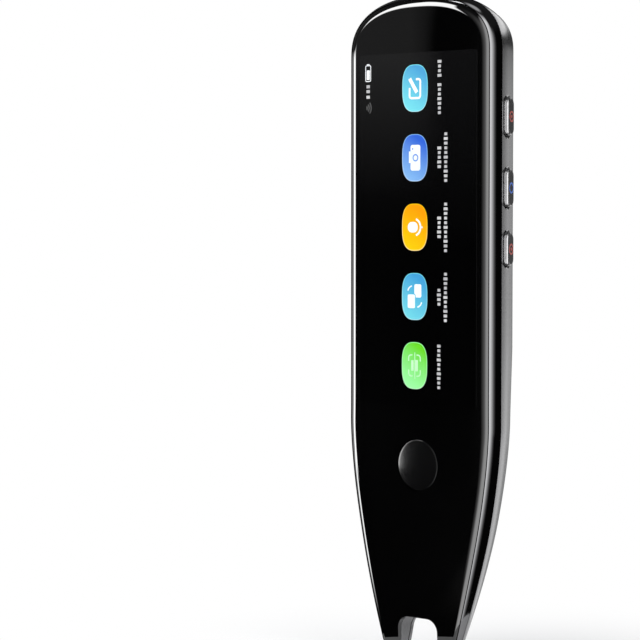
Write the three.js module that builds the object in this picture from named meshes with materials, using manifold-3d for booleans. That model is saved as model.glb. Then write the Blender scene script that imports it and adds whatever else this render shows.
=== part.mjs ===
// A hand-held scanning pen with a long touch display, three side buttons, a rear camera and speaker,
// and a forked tip whose sliding hood starts a scan when it is pressed on the paper.
// Lengths are millimetres. X runs across the pen towards the side buttons, Y from the display to the
// back, and Z along the pen up to its head. The origin is the middle of the flat strip of the back.
import * as THREE from 'three';
import { mergeVertices } from 'three/addons/utils/BufferGeometryUtils.js';
import Module from 'manifold-3d';

const wasm = await Module();
wasm.setup();

// Body outline
const bodyLength = 152;
const bodyWidth = 42.5;
const bodyThickness = 13.3;
const headHeight = 13.6;
const headRoundness = 2.4;
const taperLength = 55;
const taperPower = 1.6;
const tipWidth = 18.7;
const tipCornerHeight = 2.6;
const tipFlatWidth = 14.2;

// Body side view
const restFromTop = 42;
const backTaperLength = 72;
const backTaperDrop = 4.6;
const chiselLength = 34;
const chiselPower = 1.8;
const chiselDrop = 4.7;
const frontBendLength = 27;
const frontBend = 0.8;
const fullEdgeThickness = 12.5;
const fullLayerThickness = 10.5;
const leastEdgeShare = 0.3;

// Edge section: cover panel, bright frame and rear shell
const edgeRoundWidth = 3;
const partingTurn = THREE.MathUtils.degToRad(33);
const panelFaceThickness = 1.1;
const panelThickness = 1.65;
const frameInnerInset = 3.2;
const seamDepth = 3.5;
const seamGap = 0.15;
const facetTilt = THREE.MathUtils.degToRad(15);
const facetEndDepth = 8.8;
const crownDrop = 0.2;
const crownShare = 0.5;
const shellWall = 1.3;
const tipWall = 0.9;

// Clearances shared by the pieces
const seatGap = 0.3;
const contactGap = 0.05;
const cutOverrun = 3;

// Forked tip and its sliding hood
const notchDepth = 10.4;
const notchWidth = 11.4;
const notchCornerRadius = 2.9;
const notchMouthRadius = 0.9;
const hoodWall = 1.1;
const hoodTravel = 0.8;
const hoodReach = 0.8;
const scanSlotWidth = 8;
const scanSlotHeight = 2.2;
const scanPaneThickness = 0.7;

// Home button
const homeFromTip = 45.4;
const homeDiameter = 11.7;
const homeGap = 0.15;
const homeRecess = 0.12;
const homeCrown = 0.18;
const homeBevel = 0.25;
const homeLip = 0.9;
const homeLipThickness = 0.6;
const homeStemDiameter = 2.6;
const homeTravel = 0.3;
const homeSwitchWidth = 4;
const homeSwitchHeight = 0.7;
const homeBoardWidth = 15;
const homeBoardThickness = 0.6;
const homeFromTop = bodyLength - homeFromTip;

// Side buttons, from the head down
const recordFromTop = 28;
const talkSlotLength = 9.1;
const powerSlotLength = 8.2;
const voiceSlotGap = 6.7;
const powerSlotGap = 4.95;
const voiceFromTop = recordFromTop + talkSlotLength + voiceSlotGap;
const powerFromTop = voiceFromTop + (talkSlotLength + powerSlotLength) / 2 + powerSlotGap;
const sideButtons = [
  { name: 'record', fromTop: recordFromTop, slotLength: talkSlotLength },
  { name: 'voice', fromTop: voiceFromTop, slotLength: talkSlotLength },
  { name: 'power', fromTop: powerFromTop, slotLength: powerSlotLength },
];
const sideSlotWidth = 4;
const sideButtonGap = 0.3;
const sideButtonHeight = 0.85;
const sideButtonBevel = 0.4;
const sideButtonLip = 0.6;
const sideLipThickness = 0.6;
const sideTravel = 0.4;
const sideSwitchWidth = 2.6;
const sideSwitchLength = 3.6;
const sideSwitchHeight = 0.8;
const keyBoardWidth = 3.6;
const keyBoardThickness = 0.5;
const keyBoardMargin = 2;

// Rear camera
const cameraFromTop = 8.6;
const cameraDiameter = 8.2;
const cameraTrimThickness = 1.65;
const cameraRimWidth = 0.5;
const cameraDishDepth = 0.55;
const cameraSightDiameter = 2.6;
const cameraLensDiameter = 1.9;
const cameraLensHeight = 0.7;
const cameraModuleWidth = 6;
const cameraModuleThickness = 2.4;

// Speaker and its field of holes
const speakerFromTop = 23.8;
const speakerWidth = 18;
const speakerHeight = 11;
const speakerThickness = 3;
const gasketThickness = 0.6;
const gasketWall = 1.6;
const holeDiameter = 0.8;
const outerHoleCount = 16;
const outerFieldWidth = 11.7;
const outerFieldHeight = 6.8;
const holePitch = 2;
const holeRowPitch = 1.6;
const innerHoleRows = [4, 5, 4];

// Display and the carrier frame behind it
const displayFromTop = 10.8;
const displayHomeGap = 5.95;
const displaySideMargin = 3.95;
const displayThickness = 2;
const displayGap = 0.1;
const displayRimWidth = 1.2;
const displayRimThickness = 0.4;
const displayEnd = homeFromTop - homeDiameter / 2 - displayHomeGap;
const displayWidth = bodyWidth - 2 * displaySideMargin;
const carrierDepth = 5;
const carrierThickness = 0.8;
const carrierInset = 5.9;
const carrierFromTop = 10;
const carrierScanGap = 3.65;
const carrierWindowMargin = 4;
const carrierWindowLength = 10;
const ribbonWidth = 12;
const ribbonThickness = 0.25;
const ribbonSlotHeight = 2.6;

// Screws that join the carrier frame to the rear shell
const firstScrewFromTop = 16;
const screwBoardGap = 2.5;
const screwHomeRise = 7.1;
const screwEdgeMargin = 2.75;
const bossDiameter = 3.4;
const screwHeadDiameter = 2.4;
const screwHeadHeight = 0.6;
const screwDiameter = 1.2;
const screwLength = 4;
const screwClearance = 0.15;
const screwSpacing = bodyWidth - 2 * (carrierInset + screwEdgeMargin);

// Main board and what it carries
const boardFromTop = 8.4;
const boardLength = 45.6;
const boardBossGap = 0.4;
const boardThickness = 0.8;
const chipMargin = 1.5;
const chipThickness = 0.9;
const canWidth = 14;
const canHeight = 1.8;
const canWall = 0.2;
const canEndGap = 3;
const memoryWidth = 7;
const memoryLength = 5;
const memoryCanGap = 1;
const boardEnd = boardFromTop + boardLength;
const boardWidth = screwSpacing - bossDiameter - 2 * boardBossGap;
const screwFromTops = [firstScrewFromTop, boardEnd + screwBoardGap, homeFromTop - screwHomeRise];

// Battery
const batteryStartGap = 0.5;
const batteryEndGap = 1.1;
const batteryWidth = 24;
const batteryThickness = 4.2;
const batteryCorner = 1.2;
const batteryCapLength = 2.4;

// Charging socket, microphone and aerial in the head
const socketWidth = 8.94;
const socketHeight = 3.2;
const socketLength = 7.2;
const socketWall = 0.3;
const socketRecess = 0.4;
const socketDepth = 7.2;
const tongueWidth = 6.6;
const tongueThickness = 0.7;
const tongueLength = 5;
const microphoneOffset = 9;
const microphoneSize = 2.6;
const microphoneHole = 0.9;
const aerialThickness = 0.3;
const aerialWidth = 2.6;
const aerialStartShare = 0.3;

// Scanning module above the notch
const scanBlockWidth = 8.4;
const scanBlockLength = 15;
const scanBlockFront = 2.8;
const scanBlockGap = 2.2;
const scanBoreWall = 0.35;
const scanLensLength = 3;
const scanBoardThickness = 0.8;
const scanBoardMargin = 0.7;
const lampSize = 1.4;
const lampHeight = 0.7;
const lampSpacing = 5.6;
const tipSwitchWidth = 2;
const tipSwitchHeight = 2.6;
const scanRibbonWidth = 5;
const scanBlockEnd = bodyLength - notchDepth - hoodWall - hoodTravel - scanBlockGap;
const scanBlockStart = scanBlockEnd - scanBlockLength;
const sensorBoardStart = scanBlockStart - contactGap - scanBoardThickness;

// Counts of facets and steps
const headSteps = 10;
const sideSteps = 4;
const taperSteps = 11;
const cornerSteps = 3;
const edgeSteps = 4;
const roundSteps = 5;
const roundSides = 32;
const smallSides = 16;
const holeSides = 8;
const bevelSteps = 3;

// Looks, from the photograph
const looks = {
  glossBlack: { color: 0x050506, roughness: 0.06, metalness: 0 },
  brightFrame: { color: 0x3a3b3e, roughness: 0.12, metalness: 0.9 },
  gunmetal: { color: 0x4a4b4d, roughness: 0.38, metalness: 0.75 },
  buttonMetal: { color: 0x55565a, roughness: 0.25, metalness: 0.85 },
  satinBlack: { color: 0x151517, roughness: 0.35, metalness: 0 },
  greyPlastic: { color: 0x6a6b6e, roughness: 0.45, metalness: 0 },
  smokedPane: { color: 0x200f12, roughness: 0.05, metalness: 0 },
  lensBlue: { color: 0x2a2c66, roughness: 0.04, metalness: 0 },
  sheetSteel: { color: 0xb4b6b8, roughness: 0.3, metalness: 0.9 },
  circuitGreen: { color: 0x14502c, roughness: 0.5, metalness: 0 },
  ribbonAmber: { color: 0xb26b1e, roughness: 0.45, metalness: 0 },
  foilSilver: { color: 0xa9abad, roughness: 0.35, metalness: 0.6 },
  lampWhite: { color: 0xf2f0e4, roughness: 0.3, metalness: 0 },
  foamBlack: { color: 0x1c1c1c, roughness: 0.95, metalness: 0 },
};

const halfWidth = bodyWidth / 2;
const pen = new THREE.Group();

// Height of a place that is measured down from the head, and Y of a depth behind the display face.
function heightOf(fromTop) {
  return restFromTop - fromTop;
}

function yOf(depth) {
  return depth - bodyThickness;
}

// How far a falling curve has come at a place: 0 before it starts and 1 at the tip.
function progress(fromTop, length) {
  return Math.max(0, (fromTop - (bodyLength - length)) / length);
}

function frontDepth(fromTop) {
  return frontBend * progress(fromTop, frontBendLength) ** 2;
}

function backDepth(fromTop) {
  const gentle = backTaperDrop * progress(fromTop, backTaperLength);
  const chisel = chiselDrop * progress(fromTop, chiselLength) ** chiselPower;
  return bodyThickness - gentle - chisel;
}

function thicknessAt(fromTop) {
  return backDepth(fromTop) - frontDepth(fromTop);
}

// The edge roundings and the front layers get smaller where the body is thin.
function edgeShare(fromTop) {
  return THREE.MathUtils.clamp(thicknessAt(fromTop) / fullEdgeThickness, leastEdgeShare, 1);
}

function layerDepth(fromTop, depth) {
  const share = Math.min(1, thicknessAt(fromTop) / fullLayerThickness);
  return frontDepth(fromTop) + depth * share;
}

function rearDepth(fromTop, depth) {
  const seam = layerDepth(fromTop, seamDepth);
  const share = (depth - seamDepth) / (bodyThickness - seamDepth);
  return seam + share * (backDepth(fromTop) - seam);
}

// Half of the outline as seen from the display, from the top of the head down to the tip.
function sideHalfWidth(fromTop) {
  return halfWidth - (halfWidth - tipWidth / 2) * progress(fromTop, taperLength) ** taperPower;
}

function halfOutline() {
  const points = [];
  for (let i = 0; i <= headSteps; i++) {
    const angle = (i / headSteps) * Math.PI / 2;
    const x = halfWidth * Math.sin(angle) ** (2 / headRoundness);
    const fromTop = headHeight * (1 - Math.cos(angle) ** (2 / headRoundness));
    points.push({ x, fromTop });
  }
  const taperStart = bodyLength - taperLength;
  const cornerStart = bodyLength - tipCornerHeight;
  const stations = [bodyLength - backTaperLength];
  for (let i = 1; i <= sideSteps; i++) {
    stations.push(THREE.MathUtils.lerp(headHeight, taperStart, i / sideSteps));
  }
  for (let i = 1; i <= taperSteps; i++) {
    stations.push(THREE.MathUtils.lerp(taperStart, cornerStart, i / taperSteps));
  }
  stations.sort((a, b) => a - b);
  for (const fromTop of stations) points.push({ x: sideHalfWidth(fromTop), fromTop });
  const cornerX = sideHalfWidth(cornerStart);
  const flatX = Math.min(tipFlatWidth / 2, cornerX);
  for (let i = 1; i <= cornerSteps; i++) {
    const angle = (i / cornerSteps) * Math.PI / 2;
    const x = flatX + (cornerX - flatX) * Math.cos(angle);
    points.push({ x, fromTop: cornerStart + tipCornerHeight * Math.sin(angle) });
  }
  points.push({ x: 0, fromTop: bodyLength });
  return points.map((point, i) => ({ ...point, normal: normalAt(points, i) }));
}

function normalAt(points, i) {
  if (i === 0) return { x: 0, fromTop: -1 };
  if (i === points.length - 1) return { x: 0, fromTop: 1 };
  const before = points[i - 1];
  const after = points[i + 1];
  const dx = after.x - before.x;
  const ds = after.fromTop - before.fromTop;
  const length = Math.hypot(dx, ds);
  return { x: ds / length, fromTop: -dx / length };
}

const outline = halfOutline();

// One loop of the body: the outline moved in by an inset, at a depth behind the display face.
// Both are functions of the distance from the top.
function loopAt(insetOf, depthOf) {
  return outline.map((point) => {
    const inset = insetOf(point.fromTop);
    const x = Math.max(0, point.x - point.normal.x * inset);
    const fromTop = point.fromTop - point.normal.fromTop * inset;
    return { x, fromTop, depth: depthOf(fromTop) };
  });
}

// A loop drawn in towards the middle line of the pen, for the flat strip of the back.
function drawnIn(loop, depthOf) {
  const spineEnd = bodyLength - notchDepth;
  return loop.map((point) => {
    const spine = THREE.MathUtils.clamp(point.fromTop, headHeight, spineEnd);
    const fromTop = THREE.MathUtils.lerp(point.fromTop, spine, crownShare);
    return { x: point.x * (1 - crownShare), fromTop, depth: depthOf(fromTop) };
  });
}

// A solid skinned over half loops and their mirror images. Open ends are closed by rungs across the
// pen; a ring is skinned from its last loop back to its first.
function skinned(loops, isRing = false) {
  const last = outline.length - 1;
  const positions = [];
  for (const loop of loops) {
    const mirrored = loop.slice(1, last).reverse().map((point) => ({ ...point, x: -point.x }));
    for (const point of [...loop, ...mirrored]) {
      positions.push(point.x, yOf(point.depth), heightOf(point.fromTop));
    }
  }
  const count = 2 * last;
  const triangles = [];
  const spans = isRing ? loops.length : loops.length - 1;
  for (let j = 0; j < spans; j++) {
    const here = j * count;
    const next = ((j + 1) % loops.length) * count;
    for (let i = 0; i < count; i++) {
      const after = (i + 1) % count;
      triangles.push(here + i, here + after, next + i, next + i, here + after, next + after);
    }
  }
  if (!isRing) {
    for (let i = 0; i < last; i++) {
      const mirror = (count - i) % count;
      const end = (loops.length - 1) * count;
      triangles.push(i, mirror, i + 1, i + 1, mirror, count - i - 1);
      triangles.push(end + i, end + i + 1, end + mirror, end + i + 1, end + count - i - 1, end + mirror);
    }
  }
  const geometry = new THREE.BufferGeometry();
  geometry.setAttribute('position', new THREE.Float32BufferAttribute(positions, 3));
  geometry.setIndex(triangles);
  return solid(geometry);
}

// A closed three.js geometry as a solid that can be joined and cut.
function solid(geometry) {
  const bare = geometry.clone();
  bare.deleteAttribute('normal');
  bare.deleteAttribute('uv');
  const merged = mergeVertices(bare);
  const corners = merged.index.array;
  const kept = [];
  for (let i = 0; i < corners.length; i += 3) {
    const [a, b, c] = [corners[i], corners[i + 1], corners[i + 2]];
    if (a !== b && b !== c && c !== a) kept.push(a, b, c);
  }
  const vertProperties = new Float32Array(merged.attributes.position.array);
  const made = solidFrom(vertProperties, kept);
  if (made.volume() > 0) return made;
  for (let i = 0; i < kept.length; i += 3) [kept[i], kept[i + 1]] = [kept[i + 1], kept[i]];
  return solidFrom(vertProperties, kept);
}

function solidFrom(vertProperties, corners) {
  const triVerts = new Uint32Array(corners);
  return new wasm.Manifold(new wasm.Mesh({ numProp: 3, vertProperties, triVerts }));
}

function geometryOf(made) {
  const mesh = made.getMesh();
  const positions = new Float32Array(mesh.numVert * 3);
  for (let i = 0; i < mesh.numVert; i++) {
    for (let axis = 0; axis < 3; axis++) {
      positions[3 * i + axis] = mesh.vertProperties[i * mesh.numProp + axis];
    }
  }
  const geometry = new THREE.BufferGeometry();
  geometry.setAttribute('position', new THREE.BufferAttribute(positions, 3));
  geometry.setIndex(new THREE.BufferAttribute(mesh.triVerts, 1));
  return geometry.toNonIndexed();
}

function addPiece(name, shape, look, parent = pen) {
  const geometry = shape.isBufferGeometry ? shape : geometryOf(shape);
  geometry.computeVertexNormals();
  const mesh = new THREE.Mesh(geometry, new THREE.MeshStandardMaterial(looks[look]));
  mesh.name = name;
  parent.add(mesh);
  return mesh;
}

// A block given by its limits across the pen, its depths and its distances from the top.
function block(x0, x1, depth0, depth1, fromTop0, fromTop1) {
  const geometry = new THREE.BoxGeometry(x1 - x0, depth1 - depth0, fromTop1 - fromTop0);
  const z = heightOf((fromTop0 + fromTop1) / 2);
  geometry.translate((x0 + x1) / 2, yOf((depth0 + depth1) / 2), z);
  return solid(geometry);
}

function centredBlock(width, depth0, depth1, fromTop0, fromTop1) {
  return block(-width / 2, width / 2, depth0, depth1, fromTop0, fromTop1);
}

// A round pin through the thickness of the pen.
function pinThrough(diameter, x, fromTop, depth0, depth1, sides = roundSides) {
  const geometry = new THREE.CylinderGeometry(diameter / 2, diameter / 2, depth1 - depth0, sides);
  geometry.translate(x, yOf((depth0 + depth1) / 2), heightOf(fromTop));
  return solid(geometry);
}

// A round pin along the pen.
function pinAlong(diameter, x, depth, fromTop0, fromTop1, sides = smallSides) {
  const geometry = new THREE.CylinderGeometry(diameter / 2, diameter / 2, fromTop1 - fromTop0, sides);
  geometry.rotateX(Math.PI / 2);
  geometry.translate(x, yOf(depth), heightOf((fromTop0 + fromTop1) / 2));
  return solid(geometry);
}

// A flat shape drawn in X and Z, extruded through the whole thickness and past it.
function cutThrough(shape) {
  const reach = bodyThickness + 2 * cutOverrun;
  const geometry = new THREE.ExtrudeGeometry(shape, { depth: reach, bevelEnabled: false });
  geometry.rotateX(Math.PI / 2);
  geometry.translate(0, cutOverrun, 0);
  return solid(geometry);
}

// The fork between the two prongs, grown by a margin all round. Its mouth is eased outwards.
function forkShape(margin, mouthRadius) {
  const half = notchWidth / 2 + margin;
  const top = heightOf(bodyLength - notchDepth) + margin;
  const end = heightOf(bodyLength);
  const radius = notchCornerRadius + margin;
  const shape = new THREE.Shape();
  shape.moveTo(half + mouthRadius, end - cutOverrun);
  shape.lineTo(half + mouthRadius, end);
  shape.absarc(half + mouthRadius, end + mouthRadius, mouthRadius, -Math.PI / 2, -Math.PI, true);
  shape.absarc(half - radius, top - radius, radius, 0, Math.PI / 2, false);
  shape.absarc(radius - half, top - radius, radius, Math.PI / 2, Math.PI, false);
  shape.absarc(-half - mouthRadius, end + mouthRadius, mouthRadius, 0, -Math.PI / 2, true);
  shape.lineTo(-half - mouthRadius, end - cutOverrun);
  return shape;
}

function forkCut() {
  return cutThrough(forkShape(0, notchMouthRadius));
}

// The front edge is one rounding from the flat face to the shell's seam. The cover panel and the
// bright frame share it, and they part where it has turned by the parting turn.
function partingInset(fromTop) {
  return edgeRoundWidth * (1 - Math.sin(partingTurn)) * edgeShare(fromTop);
}

// Cover panel: a black lens with a rounded edge, a pocket for the display and a hole for the button.
function panelLoops() {
  const loops = [];
  for (let i = 0; i <= edgeSteps; i++) {
    const angle = (i / edgeSteps) * partingTurn;
    const inset = edgeRoundWidth * (1 - Math.sin(angle));
    const depth = seamDepth * (1 - Math.cos(angle));
    loops.push(loopAt((s) => inset * edgeShare(s), (s) => layerDepth(s, depth)));
  }
  loops.push(loopAt(partingInset, (s) => layerDepth(s, panelThickness)));
  return loops;
}

function makeCoverPanel() {
  const pocketBack = panelThickness + cutOverrun;
  const pocketWidth = displayWidth + 2 * displayGap;
  const pocket = centredBlock(
    pocketWidth, panelFaceThickness, pocketBack, displayFromTop - displayGap, displayEnd + displayGap);
  const lipRoom = homeDiameter + 2 * (homeLip + homeGap + seatGap);
  const homePocket = pinThrough(lipRoom, 0, homeFromTop, panelFaceThickness, pocketBack);
  const homeHole = pinThrough(homeDiameter + 2 * homeGap, 0, homeFromTop, -cutOverrun, pocketBack);
  const cuts = pocket.add(homePocket).add(homeHole).add(forkCut());
  addPiece('cover_panel', skinned(panelLoops()).subtract(cuts), 'glossBlack');
}

// Bright frame: the polished ring round the cover panel, with a shelf under the panel's edge.
function makeBrightFrame() {
  const shelf = panelThickness + seamGap;
  const lip = (s) => partingInset(s) - seamGap;
  const loops = [];
  for (let i = 0; i <= edgeSteps; i++) {
    const angle = THREE.MathUtils.lerp(partingTurn, Math.PI / 2, i / edgeSteps);
    const share = (1 - Math.sin(angle)) / (1 - Math.sin(partingTurn));
    const depth = seamDepth * (1 - Math.cos(angle));
    loops.push(loopAt((s) => lip(s) * share, (s) => layerDepth(s, depth)));
  }
  loops.push(loopAt((s) => frameInnerInset * edgeShare(s), (s) => layerDepth(s, seamDepth)));
  loops.push(loopAt((s) => frameInnerInset * edgeShare(s), (s) => layerDepth(s, shelf)));
  loops.push(loopAt(lip, (s) => layerDepth(s, shelf)));
  const hoodRoom = cutThrough(forkShape(hoodWall + seatGap, 0));
  addPiece('bright_frame', skinned(loops, true).subtract(hoodRoom), 'brightFrame');
}

// Section of the rear shell: the tilted side facet, the large rounding and the crowned back, each
// moved in by the wall where the inside is wanted.
function shellLoops(wall) {
  const start = seamDepth + seamGap;
  const facetInset = (facetEndDepth - start) * Math.tan(facetTilt);
  const roundDepth = bodyThickness - crownDrop;
  const radius = (roundDepth - facetEndDepth) / (1 - Math.sin(facetTilt));
  const centreInset = facetInset + radius * Math.cos(facetTilt);
  const centreDepth = facetEndDepth - radius * Math.sin(facetTilt);
  const loops = [];
  const sideInset = wall / Math.cos(facetTilt);
  if (wall > 0) loops.push(loopAt(() => sideInset, () => -cutOverrun));
  loops.push(loopAt(() => sideInset, seamBelow));
  for (let i = 0; i <= roundSteps; i++) {
    const angle = THREE.MathUtils.lerp(facetTilt, Math.PI / 2, i / roundSteps);
    const inset = centreInset - radius * Math.cos(angle);
    const depth = centreDepth + radius * Math.sin(angle);
    const side = wall * Math.cos(angle);
    const back = wall * Math.sin(angle);
    loops.push(loopAt((s) => inset * edgeShare(s) + side, (s) => rearDepth(s, depth) - back));
  }
  loops.push(drawnIn(loops.at(-1), (s) => backDepth(s) - wall));
  return loops;
}

function seamBelow(fromTop) {
  return layerDepth(fromTop, seamDepth) + seamGap;
}

// The room inside the shell stops above the prongs, where only the hood's slide goes on to the tip.
function shellRoom() {
  const roomEnd = bodyLength - notchDepth - hoodWall - seatGap - hoodTravel - tipWall;
  const reach = bodyThickness + cutOverrun;
  const room = skinned(shellLoops(shellWall));
  return room.intersect(centredBlock(bodyWidth, -2 * cutOverrun, reach, -cutOverrun, roomEnd));
}

function frontRegion(backOf) {
  return skinned([loopAt(() => -cutOverrun, () => -cutOverrun), loopAt(() => -cutOverrun, backOf)]);
}

function hoodSlideRoom() {
  const half = notchWidth / 2 + hoodWall + seatGap;
  const roomStart = bodyLength - notchDepth - hoodWall - 2 * seatGap - hoodTravel - 2 * tipWall;
  const reach = bodyThickness + cutOverrun;
  const slide = centredBlock(2 * half, -2 * cutOverrun, reach, roomStart, bodyLength + 2 * cutOverrun);
  return slide.intersect(frontRegion((s) => backDepth(s) - tipWall));
}

// Prong cores: the shell rises inside the bright frame up to the cover panel beside the notch.
function prongCores() {
  const inset = (s) => frameInnerInset * edgeShare(s) + seamGap;
  const top = loopAt(inset, (s) => layerDepth(s, panelThickness) + seamGap);
  const bottom = loopAt(inset, (s) => seamBelow(s) + seamGap);
  const reach = bodyThickness + cutOverrun;
  const tipZone = centredBlock(
    bodyWidth, -cutOverrun, reach, bodyLength - notchDepth, bodyLength + cutOverrun);
  return skinned([top, bottom]).intersect(tipZone);
}

function holePlaces() {
  const places = [];
  for (let i = 0; i < outerHoleCount; i++) {
    const angle = ((i + 0.5) / outerHoleCount) * 2 * Math.PI;
    const x = (outerFieldWidth / 2) * Math.cos(angle);
    places.push({ x, fromTop: speakerFromTop + (outerFieldHeight / 2) * Math.sin(angle) });
  }
  innerHoleRows.forEach((count, row) => {
    const fromTop = speakerFromTop + (row - (innerHoleRows.length - 1) / 2) * holeRowPitch;
    for (let i = 0; i < count; i++) places.push({ x: (i - (count - 1) / 2) * holePitch, fromTop });
  });
  return places;
}

function screwPlaces() {
  return screwFromTops.flatMap((fromTop) => [
    { x: screwSpacing / 2, fromTop, side: 'right' },
    { x: -screwSpacing / 2, fromTop, side: 'left' },
  ]);
}

// A frame on the side facet: Z points out of the facet, Y along the pen and X towards the back.
function facetFrame(fromTop) {
  const frame = new THREE.Group();
  const depth = (seamDepth + facetEndDepth) / 2;
  const inset = (depth - seamDepth - seamGap) * Math.tan(facetTilt);
  frame.position.set(halfWidth - inset, yOf(depth), heightOf(fromTop));
  frame.rotation.set(Math.PI / 2, 0, Math.PI / 2 + facetTilt, 'ZXY');
  frame.updateMatrixWorld(true);
  return frame;
}

function capsuleShape(length, width) {
  const radius = width / 2;
  const straight = length / 2 - radius;
  const shape = new THREE.Shape();
  shape.absarc(0, straight, radius, 0, Math.PI, false);
  shape.absarc(0, -straight, radius, Math.PI, 2 * Math.PI, false);
  return shape;
}

function capsule(length, width, bottom, top, segments = smallSides / 2) {
  const shape = capsuleShape(length, width);
  const options = { depth: top - bottom, bevelEnabled: false, curveSegments: segments };
  return new THREE.ExtrudeGeometry(shape, options).translate(0, 0, bottom);
}

function facetSlots() {
  let slots = null;
  for (const button of sideButtons) {
    const cut = capsule(button.slotLength, sideSlotWidth, -shellWall - cutOverrun, cutOverrun);
    const placed = solid(cut.applyMatrix4(facetFrame(button.fromTop).matrixWorld));
    slots = slots ? slots.add(placed) : placed;
  }
  return slots;
}

function screwBoss(place) {
  const front = carrierDepth + carrierThickness + contactGap;
  const back = backDepth(place.fromTop) - shellWall / 2;
  const post = pinThrough(bossDiameter, place.x, place.fromTop, front, back, smallSides);
  const holeWidth = screwDiameter + 2 * screwClearance;
  const holeEnd = carrierDepth + screwLength + seatGap;
  const hole = pinThrough(holeWidth, place.x, place.fromTop, front - cutOverrun, holeEnd, smallSides);
  return { post, hole };
}

function socketOutline(margin) {
  const radius = socketHeight / 2 + margin;
  const straight = socketWidth / 2 - socketHeight / 2;
  const shape = new THREE.Shape();
  shape.absarc(straight, 0, radius, -Math.PI / 2, Math.PI / 2, false);
  shape.absarc(-straight, 0, radius, Math.PI / 2, 1.5 * Math.PI, false);
  return shape;
}

function socketBar(margin, fromTop0, fromTop1) {
  const options = { depth: fromTop1 - fromTop0, bevelEnabled: false, curveSegments: holeSides };
  const geometry = new THREE.ExtrudeGeometry(socketOutline(margin), options);
  geometry.translate(0, yOf(socketDepth), heightOf(fromTop1));
  return solid(geometry);
}

// Rear shell: a moulded tray with its button slots, camera seat, speaker holes, charging mouth,
// screw bosses and the two prongs.
function makeRearShell() {
  let shell = skinned(shellLoops(0)).subtract(shellRoom());
  shell = shell.add(prongCores()).subtract(hoodSlideRoom()).subtract(forkCut());
  for (const place of screwPlaces()) {
    const boss = screwBoss(place);
    shell = shell.add(boss.post).subtract(boss.hole);
  }
  const cameraSeat = cameraDiameter + 2 * seamGap;
  const past = bodyThickness + cutOverrun;
  shell = shell.subtract(facetSlots());
  shell = shell.subtract(pinThrough(cameraSeat, 0, cameraFromTop, bodyThickness - 2 * shellWall, past));
  for (const hole of holePlaces()) {
    const front = bodyThickness - 2 * shellWall;
    shell = shell.subtract(pinThrough(holeDiameter, hole.x, hole.fromTop, front, past, holeSides));
  }
  shell = shell.subtract(socketBar(seamGap, -cutOverrun, shellWall + cutOverrun));
  const soundHole = pinAlong(
    microphoneHole, microphoneOffset, socketDepth, -cutOverrun, shellWall + cutOverrun, holeSides);
  addPiece('rear_shell', shell.subtract(soundHole), 'gunmetal');
}

// Scan hood: the sliding U that lines the notch; its feet stand proud of the prongs.
function hoodShape() {
  const inner = notchWidth / 2;
  const outer = inner + hoodWall;
  const top = heightOf(bodyLength - notchDepth);
  const foot = heightOf(bodyLength + hoodReach) + hoodWall / 2;
  const footRadius = hoodWall / 2;
  const outerRadius = notchCornerRadius + hoodWall;
  const shape = new THREE.Shape();
  shape.moveTo(outer, foot);
  shape.absarc(outer - outerRadius, top + hoodWall - outerRadius, outerRadius, 0, Math.PI / 2, false);
  shape.absarc(outerRadius - outer, top + hoodWall - outerRadius, outerRadius, Math.PI / 2, Math.PI, false);
  shape.absarc(-outer + footRadius, foot, footRadius, Math.PI, 2 * Math.PI, false);
  const innerRadius = notchCornerRadius;
  shape.absarc(innerRadius - inner, top - innerRadius, innerRadius, Math.PI, Math.PI / 2, true);
  shape.absarc(inner - innerRadius, top - innerRadius, innerRadius, Math.PI / 2, 0, true);
  shape.absarc(inner + footRadius, foot, footRadius, Math.PI, 2 * Math.PI, false);
  return shape;
}

function hoodFront(fromTop) {
  return layerDepth(fromTop, panelThickness) + seatGap;
}

function hoodBack(fromTop) {
  return backDepth(fromTop) - tipWall - seatGap;
}

function makeScanHood() {
  const deep = skinned([loopAt(() => -cutOverrun, hoodFront), loopAt(() => -cutOverrun, hoodBack)]);
  const notchTop = bodyLength - notchDepth;
  const paneDepth = (hoodFront(notchTop) + hoodBack(notchTop)) / 2;
  const slotFront = paneDepth - scanSlotHeight / 2;
  const slot = centredBlock(
    scanSlotWidth, slotFront, slotFront + scanSlotHeight, notchTop - 2 * hoodWall, notchTop + hoodWall);
  addPiece('scan_hood', cutThrough(hoodShape()).intersect(deep).subtract(slot), 'greyPlastic');
  const gap = contactGap;
  const paneStart = notchTop - (hoodWall + scanPaneThickness) / 2;
  const pane = centredBlock(
    scanSlotWidth - 2 * gap, slotFront + gap, slotFront + scanSlotHeight - gap,
    paneStart, paneStart + scanPaneThickness);
  addPiece('scan_window', pane, 'smokedPane');
}

// A turned piece about an axis through the thickness, from radius and depth pairs.
function turned(pairs, x, fromTop, sides = roundSides) {
  const profile = pairs.map(([radius, depth]) => new THREE.Vector2(radius, yOf(depth)));
  const geometry = new THREE.LatheGeometry(profile, sides);
  geometry.translate(x, 0, heightOf(fromTop));
  return solid(geometry);
}

// Home button: a slightly crowned cap with a lip behind the panel and a stem over its switch.
function makeHomeButton() {
  const radius = homeDiameter / 2;
  const lipRadius = radius + homeLip;
  const lipFront = panelFaceThickness + seatGap;
  const lipBack = lipFront + homeLipThickness;
  const stemEnd = homeSwitchFront() - homeTravel - contactGap;
  const pairs = [[0, homeRecess]];
  for (let i = 1; i <= edgeSteps; i++) {
    const share = i / edgeSteps;
    pairs.push([(radius - homeBevel) * share, homeRecess + homeCrown * share ** 2]);
  }
  pairs.push([radius, homeRecess + homeCrown + homeBevel], [radius, lipFront], [lipRadius, lipFront]);
  pairs.push([lipRadius, lipBack], [homeStemDiameter / 2, lipBack], [homeStemDiameter / 2, stemEnd]);
  pairs.push([0, stemEnd]);
  addPiece('home_button', turned(pairs, 0, homeFromTop), 'satinBlack');
}

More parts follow.
